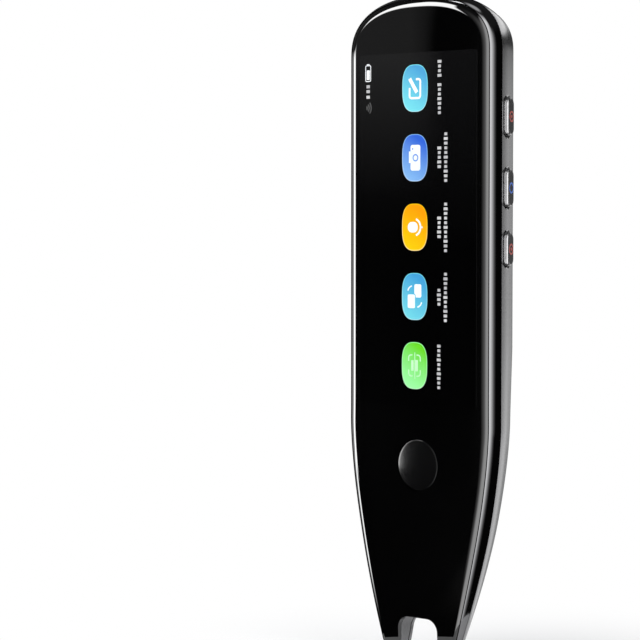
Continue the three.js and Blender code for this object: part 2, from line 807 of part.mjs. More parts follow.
function homeSwitchFront() {
  return carrierDepth - contactGap - homeBoardThickness - contactGap - homeSwitchHeight;
}

function makeHomeSwitch() {
  const boardBack = carrierDepth - contactGap;
  const boardFront = boardBack - homeBoardThickness;
  const half = homeBoardWidth / 2;
  const board = centredBlock(homeBoardWidth, boardFront, boardBack, homeFromTop - half, homeFromTop + half);
  addPiece('home_board', board, 'circuitGreen');
  const halfSwitch = homeSwitchWidth / 2;
  const front = homeSwitchFront();
  const back = front + homeSwitchHeight;
  const key = centredBlock(homeSwitchWidth, front, back, homeFromTop - halfSwitch, homeFromTop + halfSwitch);
  addPiece('home_switch', key, 'sheetSteel');
}

// Side buttons: capsule caps held by a lip at both ends behind the shell wall, each over its switch.
function sideButtonCap(button) {
  const length = button.slotLength - 2 * sideButtonGap;
  const width = sideSlotWidth - 2 * sideButtonGap;
  const bevel = sideButtonBevel;
  const shape = capsuleShape(length - 2 * bevel, width - 2 * bevel);
  const lipTop = -shellWall - seatGap;
  const lipBottom = lipTop - sideLipThickness;
  const options = {
    depth: sideButtonHeight - lipBottom - 2 * bevel,
    bevelEnabled: true,
    bevelSize: bevel,
    bevelThickness: bevel,
    bevelSegments: bevelSteps,
    curveSegments: smallSides / 2,
  };
  const cap = new THREE.ExtrudeGeometry(shape, options).translate(0, 0, lipBottom + bevel);
  const lip = capsule(length + 2 * sideButtonLip, width, lipBottom, lipTop);
  return solid(cap).add(solid(lip));
}

function sideSwitchTop() {
  return -shellWall - seatGap - sideLipThickness - sideTravel - contactGap;
}

function makeSideButtons() {
  for (const button of sideButtons) {
    const frame = facetFrame(button.fromTop);
    pen.add(frame);
    addPiece(button.name + '_button', sideButtonCap(button), 'buttonMetal', frame);
    const box = new THREE.BoxGeometry(sideSwitchWidth, sideSwitchLength, sideSwitchHeight);
    box.translate(0, 0, sideSwitchTop() - sideSwitchHeight / 2);
    addPiece(button.name + '_switch', box, 'sheetSteel', frame);
  }
}

function makeKeyBoard() {
  const first = sideButtons[0];
  const last = sideButtons.at(-1);
  const length = last.fromTop - first.fromTop + first.slotLength + keyBoardMargin;
  const frame = facetFrame((first.fromTop + last.fromTop) / 2);
  pen.add(frame);
  const board = new THREE.BoxGeometry(keyBoardWidth, length, keyBoardThickness);
  board.translate(0, 0, sideSwitchTop() - sideSwitchHeight - seatGap - keyBoardThickness / 2);
  addPiece('key_board', board, 'circuitGreen', frame);
}

// Rear camera: a dished trim ring flush with the back, the lens in its middle and the module behind.
function makeCamera() {
  const radius = cameraDiameter / 2;
  const face = bodyThickness - contactGap;
  const back = face - cameraTrimThickness;
  const dish = face - cameraDishDepth;
  const sight = cameraSightDiameter / 2;
  const bevel = cameraRimWidth / 2;
  const ring = [
    [sight, back], [radius, back], [radius, face - bevel], [radius - bevel, face],
    [radius - cameraRimWidth, face], [sight, dish], [sight, back],
  ];
  addPiece('camera_trim', turned(ring, 0, cameraFromTop), 'glossBlack');
  const lensRadius = cameraLensDiameter / 2;
  const dome = [[0, back], [lensRadius, back], [lensRadius, back + cameraLensHeight / 2]];
  for (let i = 1; i <= edgeSteps; i++) {
    const angle = (i / edgeSteps) * Math.PI / 2;
    const height = (cameraLensHeight / 2) * (1 + Math.sin(angle));
    dome.push([i === edgeSteps ? 0 : lensRadius * Math.cos(angle), back + height]);
  }
  addPiece('camera_lens', turned(dome, 0, cameraFromTop, smallSides), 'lensBlue');
  const half = cameraModuleWidth / 2;
  const moduleBack = back - contactGap;
  const module = centredBlock(
    cameraModuleWidth, moduleBack - cameraModuleThickness, moduleBack,
    cameraFromTop - half, cameraFromTop + half);
  addPiece('camera_module', module, 'satinBlack');
}

// Speaker box behind its foam gasket.
function makeSpeaker() {
  const top = speakerFromTop - speakerHeight / 2;
  const end = speakerFromTop + speakerHeight / 2;
  const gasketBack = bodyThickness - shellWall - contactGap - crownDrop;
  const gasketFront = gasketBack - gasketThickness;
  const window = centredBlock(
    speakerWidth - 2 * gasketWall, gasketFront - cutOverrun, gasketBack + cutOverrun,
    top + gasketWall, end - gasketWall);
  const gasket = centredBlock(speakerWidth, gasketFront, gasketBack, top, end).subtract(window);
  addPiece('speaker_gasket', gasket, 'foamBlack');
  const back = gasketFront - contactGap;
  const front = back - speakerThickness;
  addPiece('speaker', centredBlock(speakerWidth, front, back, top, end), 'satinBlack');
}

// Display module in its thin steel tray.
function makeDisplay() {
  const front = panelFaceThickness + displayGap;
  const back = front + displayThickness;
  const inner = displayWidth - 2 * displayRimWidth;
  addPiece('display', centredBlock(
    inner, front, back - displayRimThickness - contactGap,
    displayFromTop + displayRimWidth, displayEnd - displayRimWidth), 'glossBlack');
  const well = centredBlock(
    inner + 2 * contactGap, front - cutOverrun, back - displayRimThickness,
    displayFromTop + displayRimWidth - contactGap, displayEnd - displayRimWidth + contactGap);
  const tray = centredBlock(displayWidth, front, back, displayFromTop, displayEnd).subtract(well);
  addPiece('display_tray', tray, 'sheetSteel');
}

// Ribbon that folds from the display tray through the carrier frame to the main board side.
function makeDisplayRibbon() {
  const start = displayEnd - ribbonSlotHeight;
  const front = panelFaceThickness + displayGap + displayThickness + contactGap;
  const back = carrierDepth + carrierThickness + contactGap + ribbonThickness;
  const radius = (back - front) / 2;
  const centre = new THREE.Vector2(heightOf(start), yOf(front + radius));
  const shape = new THREE.Shape();
  shape.moveTo(centre.x + radius, centre.y - radius);
  shape.absarc(centre.x, centre.y, radius, -Math.PI / 2, -1.5 * Math.PI, true);
  shape.lineTo(centre.x + radius, centre.y + radius);
  shape.lineTo(centre.x + radius, centre.y + radius - ribbonThickness);
  shape.absarc(centre.x, centre.y, radius - ribbonThickness, Math.PI / 2, 1.5 * Math.PI, false);
  shape.lineTo(centre.x + radius, centre.y - radius + ribbonThickness);
  const options = { depth: ribbonWidth, bevelEnabled: false, curveSegments: holeSides };
  const geometry = new THREE.ExtrudeGeometry(shape, options);
  geometry.translate(0, 0, -ribbonWidth / 2);
  geometry.applyMatrix4(new THREE.Matrix4().makeBasis(
    new THREE.Vector3(0, 0, 1), new THREE.Vector3(0, 1, 0), new THREE.Vector3(-1, 0, 0)));
  addPiece('display_ribbon', solid(geometry), 'ribbonAmber');
}

// Carrier frame: the stiff plate that ties display, boards and battery to the shell bosses.
function makeCarrier() {
  const back = carrierDepth + carrierThickness;
  const inset = (s) => carrierInset * edgeShare(s);
  const plate = skinned([loopAt(inset, () => carrierDepth), loopAt(inset, () => back)]);
  const carrierEnd = sensorBoardStart - carrierScanGap;
  let carrier = plate.intersect(
    centredBlock(bodyWidth, -cutOverrun, bodyThickness, carrierFromTop, carrierEnd));
  const slotEnd = displayEnd + seatGap;
  const slotStart = slotEnd - 2 * ribbonSlotHeight - seatGap;
  const front = carrierDepth - cutOverrun;
  const past = back + cutOverrun;
  carrier = carrier.subtract(centredBlock(ribbonWidth + 2 * seatGap, front, past, slotStart, slotEnd));
  const windowWidth = screwSpacing - 2 * carrierWindowMargin;
  for (const window of carrierWindows(slotStart)) {
    carrier = carrier.subtract(centredBlock(windowWidth, front, past, window.start, window.end));
  }
  const holeWidth = screwDiameter + 2 * screwClearance;
  for (const place of screwPlaces()) {
    carrier = carrier.subtract(pinThrough(holeWidth, place.x, place.fromTop, front, past, smallSides));
  }
  addPiece('carrier_frame', carrier, 'sheetSteel');
}

// Windows between the screw rows: as many, none under their named length, as fit above the ribbon slot.
function carrierWindows(slotStart) {
  const windows = [];
  for (let i = 1; i < screwFromTops.length; i++) {
    const start = screwFromTops[i - 1] + carrierWindowMargin;
    const end = Math.min(screwFromTops[i], slotStart) - carrierWindowMargin;
    const pitchedRoom = end - start + carrierWindowMargin;
    const count = Math.floor(pitchedRoom / (carrierWindowLength + carrierWindowMargin));
    for (let k = 0; k < count; k++) {
      const windowStart = start + (k * pitchedRoom) / count;
      windows.push({ start: windowStart, end: windowStart + pitchedRoom / count - carrierWindowMargin });
    }
  }
  return windows;
}

function makeScrews() {
  screwPlaces().forEach((place, i) => {
    const headBack = carrierDepth - contactGap;
    const headFront = headBack - screwHeadHeight;
    const headRadius = screwHeadDiameter / 2;
    const shank = screwDiameter / 2;
    const recess = screwHeadHeight / 2;
    const end = carrierDepth + screwLength;
    const pairs = [
      [0, headFront + recess], [shank / 2, headFront + recess], [shank, headFront],
      [headRadius, headFront + recess], [headRadius, headBack], [shank, headBack],
      [shank, end - shank], [0, end],
    ];
    const row = Math.floor(i / 2) + 1;
    addPiece(`screw_${row}_${place.side}`, turned(pairs, place.x, place.fromTop, smallSides), 'sheetSteel');
  });
}

// Main board with its processor under a shield can, and a memory chip.
function boardBack() {
  return carrierDepth + carrierThickness + seatGap + boardThickness;
}

function makeMainBoard() {
  const back = boardBack();
  const front = back - boardThickness;
  addPiece('main_board', centredBlock(boardWidth, front, back, boardFromTop, boardEnd), 'circuitGreen');
  const seat = back + contactGap;
  const canEnd = boardEnd - canEndGap;
  const canStart = canEnd - canWidth;
  const chip = centredBlock(
    canWidth - 2 * chipMargin, seat, seat + chipThickness, canStart + chipMargin, canEnd - chipMargin);
  addPiece('processor', chip, 'satinBlack');
  const outer = centredBlock(canWidth, seat, seat + canHeight, canStart, canEnd);
  const hollow = centredBlock(
    canWidth - 2 * canWall, seat - cutOverrun, seat + canHeight - canWall,
    canStart + canWall, canEnd - canWall);
  addPiece('shield_can', outer.subtract(hollow), 'sheetSteel');
  const memoryEnd = canStart - memoryCanGap;
  const memory = centredBlock(
    memoryWidth, seat, seat + chipThickness, memoryEnd - memoryLength, memoryEnd);
  addPiece('memory_chip', memory, 'satinBlack');
}

function roundedBar(width, thickness, corner, depth, fromTop0, fromTop1) {
  const shape = new THREE.Shape();
  const x = width / 2 - corner;
  const y = thickness / 2 - corner;
  shape.absarc(x, y, corner, 0, Math.PI / 2, false);
  shape.absarc(-x, y, corner, Math.PI / 2, Math.PI, false);
  shape.absarc(-x, -y, corner, Math.PI, 1.5 * Math.PI, false);
  shape.absarc(x, -y, corner, 1.5 * Math.PI, 2 * Math.PI, false);
  const options = { depth: fromTop1 - fromTop0, bevelEnabled: false, curveSegments: edgeSteps };
  const geometry = new THREE.ExtrudeGeometry(shape, options);
  geometry.translate(0, yOf(depth), heightOf(fromTop1));
  return solid(geometry);
}

// Battery pouch with its protection board at the upper end.
function makeBattery() {
  const front = carrierDepth + carrierThickness + ribbonThickness + 2 * contactGap;
  const middle = front + batteryThickness / 2;
  const [, middleScrew, lastScrew] = screwFromTops;
  const start = middleScrew + bossDiameter / 2 + batteryStartGap;
  const end = lastScrew - bossDiameter / 2 - batteryEndGap;
  const capEnd = start + batteryCapLength;
  const pouch = roundedBar(batteryWidth, batteryThickness, batteryCorner, middle, capEnd + contactGap, end);
  addPiece('battery', pouch, 'foilSilver');
  const capThickness = batteryThickness / 2;
  const cap = centredBlock(
    batteryWidth - 2 * batteryCorner, front, front + capThickness, start, capEnd);
  addPiece('battery_board', cap, 'circuitGreen');
}

// Charging socket in the top of the head: a steel shell round a plastic tongue.
function makeChargingSocket() {
  const start = socketRecess;
  const end = start + socketLength;
  const outside = socketBar(-contactGap, start, end);
  const inside = socketBar(-socketWall, start - cutOverrun, end - socketWall);
  addPiece('charging_socket', outside.subtract(inside), 'sheetSteel');
  const tongueEnd = end - socketWall - contactGap;
  const halfTongue = tongueThickness / 2;
  const tongue = centredBlock(
    tongueWidth, socketDepth - halfTongue, socketDepth + halfTongue, tongueEnd - tongueLength, tongueEnd);
  addPiece('socket_tongue', tongue, 'satinBlack');
}

function headWallAt(x) {
  const share = 1 - (x / halfWidth) ** headRoundness;
  return headHeight * (1 - share ** (1 / headRoundness)) + shellWall;
}

function makeMicrophone() {
  const half = microphoneSize / 2;
  const outerEdge = microphoneOffset + half;
  const facetInset = (socketDepth + half - seamDepth) * Math.tan(facetTilt);
  const start = headWallAt(outerEdge) + facetInset + seatGap;
  const can = block(
    microphoneOffset - half, outerEdge, socketDepth - half / 2, socketDepth + half / 2,
    start, start + microphoneSize);
  addPiece('microphone', can, 'sheetSteel');
}

// Aerial: a strip bonded inside the head wall on the side away from the buttons.
function makeAerial() {
  const facetInset = (facetEndDepth - seamDepth) * Math.tan(facetTilt) / 2;
  const outer = () => shellWall + facetInset + seatGap;
  const inner = () => shellWall + facetInset + seatGap + aerialThickness;
  const front = () => seamDepth + seatGap;
  const back = () => seamDepth + seatGap + aerialWidth;
  const corners = [[outer, front], [outer, back], [inner, back], [inner, front]];
  const strip = skinned(corners.map(([inset, depth]) => loopAt(inset, depth)), true);
  const start = -halfWidth * aerialStartShare;
  const zone = block(-bodyWidth, start, 0, bodyThickness, 0, headHeight);
  addPiece('aerial', strip.intersect(zone), 'ribbonAmber');
}

// Scanning module: a block with a sighting bore, its lens, the sensor board above it, two lamps
// that light the paper and the switch that the hood presses.
function makeScanModule() {
  const [start, end] = [scanBlockStart, scanBlockEnd];
  const back = backDepth(end) - shellWall - seatGap;
  const middle = (scanBlockFront + back) / 2;
  const boreDiameter = back - scanBlockFront - 2 * scanBoreWall;
  const body = centredBlock(scanBlockWidth, scanBlockFront, back, start, end);
  const bore = pinAlong(boreDiameter, 0, middle, start - cutOverrun, end + cutOverrun);
  addPiece('scan_block', body.subtract(bore), 'satinBlack');
  const lensDiameter = boreDiameter - 2 * contactGap;
  const lensEnd = end - scanLensLength;
  addPiece('scan_lens', pinAlong(lensDiameter, 0, middle, lensEnd - scanLensLength, lensEnd), 'lensBlue');
  const board = centredBlock(
    scanBlockWidth + 2 * scanBoardMargin, scanBlockFront - scanBoardMargin / 2, back + scanBoardMargin,
    sensorBoardStart, sensorBoardStart + scanBoardThickness);
  addPiece('sensor_board', board, 'circuitGreen');
  const lampStart = end + contactGap;
  for (const [side, sign] of [['left', -1], ['right', 1]]) {
    const x = (sign * lampSpacing) / 2;
    const lamp = block(
      x - lampSize / 2, x + lampSize / 2, middle - lampSize / 2, middle + lampSize / 2,
      lampStart, lampStart + lampHeight);
    addPiece(`scan_lamp_${side}`, lamp, 'lampWhite');
  }
  const switchEnd = bodyLength - notchDepth - hoodWall - hoodTravel - contactGap;
  const switchStart = scanBlockWidth / 2 + seatGap;
  const tipSwitch = block(
    switchStart, switchStart + tipSwitchWidth, scanBlockFront + seatGap, back - seatGap,
    switchEnd - tipSwitchHeight, switchEnd);
  addPiece('tip_switch', tipSwitch, 'sheetSteel');
}

function makeScanRibbon() {
  const start = homeFromTop + homeBoardWidth / 2;
  const end = sensorBoardStart - contactGap;
  const front = carrierDepth + carrierThickness + contactGap;
  const strip = centredBlock(scanRibbonWidth, front, front + ribbonThickness, start, end);
  addPiece('scan_ribbon', strip, 'ribbonAmber');
}

makeCoverPanel();
makeBrightFrame();
makeRearShell();
makeScanHood();
makeHomeButton();
makeHomeSwitch();
makeSideButtons();
makeKeyBoard();
makeCamera();
makeSpeaker();
makeDisplay();
makeDisplayRibbon();
makeCarrier();
makeScrews();
makeMainBoard();
makeBattery();
makeChargingSocket();
makeMicrophone();
makeAerial();
makeScanModule();
makeScanRibbon();

export default pen;
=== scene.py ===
# A hand-held scanning pen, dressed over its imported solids. Lengths are metres. X runs across the pen
# towards the side buttons, Y from the display to the back, and Z along the pen up to its head. A place
# along the pen is also given as s, its distance from the head.
import math

import bmesh
import bpy
from mathutils import Matrix, Vector


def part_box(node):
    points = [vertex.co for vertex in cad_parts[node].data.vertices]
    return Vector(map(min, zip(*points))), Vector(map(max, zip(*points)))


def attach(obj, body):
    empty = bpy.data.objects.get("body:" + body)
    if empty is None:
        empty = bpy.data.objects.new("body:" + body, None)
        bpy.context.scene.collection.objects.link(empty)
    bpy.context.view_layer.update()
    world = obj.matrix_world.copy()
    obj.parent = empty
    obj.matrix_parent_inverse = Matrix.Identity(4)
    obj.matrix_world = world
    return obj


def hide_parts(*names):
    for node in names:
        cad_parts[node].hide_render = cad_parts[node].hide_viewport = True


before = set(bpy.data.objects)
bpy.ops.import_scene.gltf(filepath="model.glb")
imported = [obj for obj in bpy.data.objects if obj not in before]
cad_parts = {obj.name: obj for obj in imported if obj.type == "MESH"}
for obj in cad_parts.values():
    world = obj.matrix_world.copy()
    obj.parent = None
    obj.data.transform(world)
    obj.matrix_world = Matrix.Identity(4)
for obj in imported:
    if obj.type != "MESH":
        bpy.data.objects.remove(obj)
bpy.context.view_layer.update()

# Camera: a long lens that looks at the display from the side of the buttons, a little from above.
# It stands where it brings the home button to its place in the picture.
camera_azimuth = math.radians(41.5)
camera_rise = math.radians(2.62)
camera_distance = 0.5293
focal_pixels = 2329
picture_width = 640
key_in_picture = Vector((0.02195, -0.03298))
home_low, home_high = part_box("home_button")
home_centre = (home_low + home_high) / 2
display_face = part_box("cover_panel")[0].y

towards_camera = Vector((
    math.sin(camera_azimuth) * math.cos(camera_rise),
    -math.cos(camera_azimuth) * math.cos(camera_rise),
    math.sin(camera_rise),
))
camera_right = Vector((math.cos(camera_azimuth), math.sin(camera_azimuth), 0))
camera_up = towards_camera.cross(camera_right)
home_on_face = Vector((0, display_face, home_centre.z))
bpy.ops.object.select_all(action="DESELECT")
bpy.ops.object.camera_add(
    location=home_on_face + towards_camera * camera_distance
    - camera_right * key_in_picture.x - camera_up * key_in_picture.y,
    rotation=(math.pi / 2 - camera_rise, 0, camera_azimuth),
)
camera = bpy.context.object
camera.data.lens = camera.data.sensor_width * focal_pixels / picture_width
camera.data.clip_start = 0.01
bpy.context.scene.camera = camera
bpy.context.scene.view_settings.view_transform = "Standard"

# Cover panel: one black glass that fills the front, moulded with a rounded edge all round. It has a
# pocket for the display behind it, a round hole for the home button, and the fork cut from its end.
shell_low, shell_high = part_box("rear_shell")
head_top = shell_high.z
body_length = shell_high.z - shell_low.z
half_width = shell_high.x
body_thickness = -display_face
head_height = 0.0136
head_roundness = 2.4
taper_length = 0.055
taper_power = 1.6
tip_half_width = 0.00935
tip_corner_height = 0.0026
tip_flat_half = 0.0071
back_taper_length = 0.072
back_taper_drop = 0.0046
chisel_length = 0.034
chisel_power = 1.8
chisel_drop = 0.0047
front_bend_length = 0.027
front_bend = 0.0008
full_edge_thickness = 0.0125
full_layer_thickness = 0.0105
least_edge_share = 0.3
edge_round_width = 0.003
parting_turn = math.radians(33)
panel_face_thickness = 0.0011
panel_thickness = 0.00165
seam_depth = 0.0035
seam_gap = 0.00015
parting_gap = 0.00026
notch_depth = 0.0104
notch_half = 0.0057
notch_corner = 0.0029
notch_mouth = 0.0009
overrun = 0.003
home_radius = 0.00585
home_gap = 0.00015
home_lip_room = 0.0072
home_s = head_top - home_centre.z
pocket_half, pocket_start, pocket_end = 0.0174, 0.0107, 0.0949
head_steps, side_steps, taper_steps, corner_steps, edge_steps = 44, 24, 44, 10, 10
fine_sides = 96


def progress(s, length):
    """How far a falling curve has come at a distance s from the head: 1 at the tip."""
    return max(0, (s - (body_length - length)) / length)


def front_depth(s):
    return front_bend * progress(s, front_bend_length) ** 2


def back_depth(s):
    gentle = back_taper_drop * progress(s, back_taper_length)
    return body_thickness - gentle - chisel_drop * progress(s, chisel_length) ** chisel_power


def edge_share(s):
    thickness = back_depth(s) - front_depth(s)
    return min(1, max(least_edge_share, thickness / full_edge_thickness))


def layer_depth(s, depth):
    thickness = back_depth(s) - front_depth(s)
    return front_depth(s) + depth * min(1, thickness / full_layer_thickness)


def side_half_width(s):
    return half_width - (half_width - tip_half_width) * progress(s, taper_length) ** taper_power


def quarter_turn(steps, first=0):
    """Angles from 0 to 90 degrees in even steps."""
    return [math.pi / 2 * i / steps for i in range(first, steps + 1)]


def half_outline():
    """Places and outward normals (x, s) of the right half of the outline, from the head to the tip."""
    points = []
    for angle in quarter_turn(head_steps):
        x = half_width * math.sin(angle) ** (2 / head_roundness)
        points.append((x, head_height * (1 - math.cos(angle) ** (2 / head_roundness))))
    taper_start = body_length - taper_length
    corner_start = body_length - tip_corner_height
    stretches = [(head_height, taper_start, side_steps), (taper_start, corner_start, taper_steps)]
    for start, end, steps in stretches:
        for i in range(1, steps + 1):
            s = start + (end - start) * i / steps
            points.append((side_half_width(s), s))
    corner_x = side_half_width(corner_start)
    for angle in quarter_turn(corner_steps, first=1):
        x = tip_flat_half + (corner_x - tip_flat_half) * math.cos(angle)
        points.append((x, corner_start + tip_corner_height * math.sin(angle)))
    points.append((0, body_length))
    placed = []
    for i, (x, s) in enumerate(points):
        before, after = points[max(0, i - 1)], points[min(len(points) - 1, i + 1)]
        normal = Vector((after[1] - before[1], before[0] - after[0])).normalized()
        if i in (0, len(points) - 1):
            normal = Vector((0, 1 if i else -1))
        placed.append((x, s, normal))
    return placed


outline = half_outline()


def loop_at(inset_of, depth_of):
    """The whole outline moved in by an inset, at a depth behind the display, as points."""
    half = []
    for x, s, normal in outline:
        inset = inset_of(s)
        s_in = s - normal.y * inset
        half.append(Vector((max(0, x - normal.x * inset), depth_of(s_in) - body_thickness, head_top - s_in)))
    return half + [Vector((-p.x, p.y, p.z)) for p in reversed(half[1:-1])]


def layer_loop(inset, depth):
    """The outline at an inset and a depth that both shrink where the pen gets thin."""
    return loop_at(lambda s: inset * edge_share(s), lambda s: layer_depth(s, depth))


def on_middle(loop):
    """A loop flattened onto the middle line of the pen, which closes the face inside it."""
    return [Vector((0, p.y, p.z)) for p in loop]


def loft(name, loops):
    """A closed skin over loops of equal count. The first loop is a circle whose points are moved to
    their places, and each next one is extruded from the last."""
    bpy.ops.object.select_all(action="DESELECT")
    bpy.ops.mesh.primitive_circle_add(vertices=len(loops[0]), enter_editmode=True)
    piece = bpy.context.object
    piece.name = name
    mesh = bmesh.from_edit_mesh(piece.data)
    station = mesh.verts.layers.int.new("station")
    for i, vertex in enumerate(mesh.verts):
        vertex[station] = i
        vertex.co = loops[0][i]
    for loop in loops[1:]:
        bmesh.update_edit_mesh(piece.data)
        bpy.ops.mesh.extrude_region()
        mesh = bmesh.from_edit_mesh(piece.data)
        station = mesh.verts.layers.int["station"]
        for vertex in mesh.verts:
            if vertex.select:
                vertex.co = loop[vertex[station]]
    bmesh.update_edit_mesh(piece.data)
    bpy.ops.mesh.select_all(action="SELECT")
    bpy.ops.mesh.remove_doubles(threshold=1e-6)
    bpy.ops.mesh.dissolve_degenerate(threshold=1e-7)
    bpy.ops.mesh.select_all(action="SELECT")
    bpy.ops.mesh.normals_make_consistent(inside=False)
    bpy.ops.object.mode_set(mode="OBJECT")
    return piece


def skinned(name, loops):
    """A body shell closed across the pen in front and behind."""
    return loft(name, [on_middle(loops[0]), *loops, on_middle(loops[-1])])


def board_at(x, s, depth, out=Vector((0, -1, 0))):
    """A drawing board laid on the pen, whose X runs across, Y up the pen and Z out of the surface."""
    up = Vector((0, 0, 1))
    board = Matrix((up.cross(out), up, out)).transposed().to_4x4()
    board.translation = (x, depth - body_thickness, head_top - s)
    return board


def on_board(points, height, board):
    """The points of a flat drawing, placed at one height above its board."""
    return [board @ Vector((x, y, height)) for x, y in points]


def prism(name, points, low, high, board):
    """A flat shape drawn on a board and extruded out of it from one height to another."""
    bpy.ops.object.select_all(action="DESELECT")
    bpy.ops.mesh.primitive_circle_add(vertices=len(points), fill_type="NGON", enter_editmode=True)
    piece = bpy.context.object
    piece.name = name
    mesh = bmesh.from_edit_mesh(piece.data)
    for vertex, place in zip(list(mesh.verts), on_board(points, low, board)):
        vertex.co = place
    bmesh.update_edit_mesh(piece.data)
    reach = board.to_3x3() @ Vector((0, 0, high - low))
    bpy.ops.mesh.extrude_region_move(TRANSFORM_OT_translate={"value": reach})
    bpy.ops.mesh.select_all(action="SELECT")
    bpy.ops.mesh.normals_make_consistent(inside=False)
    bpy.ops.object.mode_set(mode="OBJECT")
    return piece


def circle(radius, sides=64, x=0, y=0):
    angles = [2 * math.pi * i / sides for i in range(sides)]
    return [(x + radius * math.cos(a), y + radius * math.sin(a)) for a in angles]


def rectangle(width, height, x=0, y=0):
    w, h = width / 2, height / 2
    return [(x - w, y - h), (x + w, y - h), (x + w, y + h), (x - w, y + h)]


def arc(x, y, radius, start, end, steps=10):
    """Points of an arc, with its angles in degrees."""
    turns = [math.radians(start + (end - start) * i / steps) for i in range(steps + 1)]
    return [(x + radius * math.cos(a), y + radius * math.sin(a)) for a in turns]


def select_only(piece):
    bpy.ops.object.select_all(action="DESELECT")
    bpy.context.view_layer.objects.active = piece
    piece.select_set(True)


def carve(piece, tool, operation="DIFFERENCE"):
    """Cuts, joins or clips a piece with a tool body, which is used up."""
    select_only(piece)
    bpy.ops.object.modifier_add(type="BOOLEAN")
    modifier = piece.modifiers[-1]
    modifier.object = tool
    modifier.operation = operation
    modifier.solver = "EXACT"
    bpy.ops.object.modifier_apply(modifier=modifier.name)
    bpy.data.objects.remove(tool)


def fork_points(margin, mouth):
    """The gap between the prongs, drawn with its middle end at the origin of its board."""
    half, top, radius = notch_half + margin, notch_depth + margin, notch_corner + margin
    points = [(half + mouth, -overrun)]
    if mouth:
        points += arc(half + mouth, mouth, mouth, 270, 180)
    points += arc(half - radius, top - radius, radius, 0, 90)
    points += arc(radius - half, top - radius, radius, 90, 180)
    if mouth:
        points += arc(-half - mouth, mouth, mouth, 0, -90)
    return points + [(-half - mouth, -overrun)]


def fork_tool(margin=0, mouth=notch_mouth):
    tip = board_at(0, body_length, body_thickness)
    return prism("fork_tool", fork_points(margin, mouth), -overrun, body_thickness + overrun, tip)


def smooth(piece, degrees=30):
    select_only(piece)
    bpy.ops.object.shade_smooth_by_angle(angle=math.radians(degrees))


def new_material(name, colour, metallic=0, roughness=0.4, specular=0.5, coat=0):
    """A principled material with its plain values on the shader's own sockets."""
    material = bpy.data.materials.new(name)
    material.use_nodes = True
    shader = material.node_tree.nodes["Principled BSDF"]
    values = {
        "Base Color": (*colour, 1), "Metallic": metallic, "Roughness": roughness,
        "Specular IOR Level": specular, "Coat Weight": coat, "Coat Roughness": 0.03,
    }
    for socket, value in values.items():
        shader.inputs[socket].default_value = value
    return material


def add_noise(material, scale, detail, stretch):
    """A noise on object coordinates."""
    nodes, links = material.node_tree.nodes, material.node_tree.links
    place = nodes.new("ShaderNodeTexCoord")
    mapping = nodes.new("ShaderNodeMapping")
    mapping.inputs["Scale"].default_value = stretch
    noise = nodes.new("ShaderNodeTexNoise")
    noise.inputs["Scale"].default_value = scale
    noise.inputs["Detail"].default_value = detail
    links.new(place.outputs["Object"], mapping.inputs["Vector"])
    links.new(mapping.outputs["Vector"], noise.inputs["Vector"])
    return noise


# Nearly all of a noise lies between these two values.
noise_low, noise_high = 0.3, 0.7


def vary_roughness(material, noise, low, high):
    nodes, links = material.node_tree.nodes, material.node_tree.links
    spread = nodes.new("ShaderNodeMapRange")
    spread.inputs["From Min"].default_value = noise_low
    spread.inputs["From Max"].default_value = noise_high
    spread.inputs["To Min"].default_value = low
    spread.inputs["To Max"].default_value = high
    links.new(noise.outputs["Fac"], spread.inputs["Value"])
    links.new(spread.outputs["Result"], nodes["Principled BSDF"].inputs["Roughness"])


def vary_colour(material, source, first, second, low, high):
    nodes, links = material.node_tree.nodes, material.node_tree.links
    ramp = nodes.new("ShaderNodeValToRGB")
    ramp.color_ramp.elements[0].position = low
    ramp.color_ramp.elements[0].color = (*first, 1)
    ramp.color_ramp.elements[1].position = high
    ramp.color_ramp.elements[1].color = (*second, 1)
    links.new(source, ramp.inputs["Fac"])
    links.new(ramp.outputs["Color"], nodes["Principled BSDF"].inputs["Base Color"])


def add_bump(material, noise, strength, distance):
    nodes, links = material.node_tree.nodes, material.node_tree.links
    bump = nodes.new("ShaderNodeBump")
    bump.inputs["Strength"].default_value = strength
    bump.inputs["Distance"].default_value = distance
    links.new(noise.outputs["Fac"], bump.inputs["Height"])
    links.new(bump.outputs["Normal"], nodes["Principled BSDF"].inputs["Normal"])


def grained(name, colour, scale, detail=3, stretch=(1, 1, 1), rough_range=None, tones=None,
            steps=(0.35, 0.65), relief=None, **plain):
    """A material whose grain varies its roughness within a range, its colour between two tones, or its
    relief by a strength and a depth. What stays the same all over is passed on as plain values."""
    material = new_material(name, colour, **plain)
    grain = add_noise(material, scale, detail, stretch)
    if rough_range:
        vary_roughness(material, grain, *rough_range)
    if tones:
        vary_colour(material, grain.outputs["Fac"], *tones, *steps)
    if relief:
        add_bump(material, grain, *relief)
    return material


def dress(piece, material, body, slot, *nodes):
    """Gives a new piece its material, the body that carries it and the solids it stands for."""
    piece.data.materials.clear()
    piece.data.materials.append(material)
    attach(piece, body)
    if nodes:
        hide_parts(*nodes)


black_glass = grained(
    "black_glass", (0.0008, 0.0008, 0.0009), 60, detail=4, stretch=(1, 1, 0.4), rough_range=(0.014, 0.026),
    tones=((0.0006, 0.0006, 0.0007), (0.001, 0.001, 0.0011)), specular=1)


def parting_inset(s):
    return edge_round_width * (1 - math.sin(parting_turn)) * edge_share(s)


def panel_loops():
    """Outlines from the flat face over the rounded edge, then straight back to the inner face."""
    loops = []
    for i in range(edge_steps + 1):
        angle = parting_turn * i / edge_steps
        loops.append(layer_loop(edge_round_width * (1 - math.sin(angle)), seam_depth * (1 - math.cos(angle))))
    loops.append(loop_at(parting_inset, lambda s: layer_depth(s, panel_thickness)))
    return loops


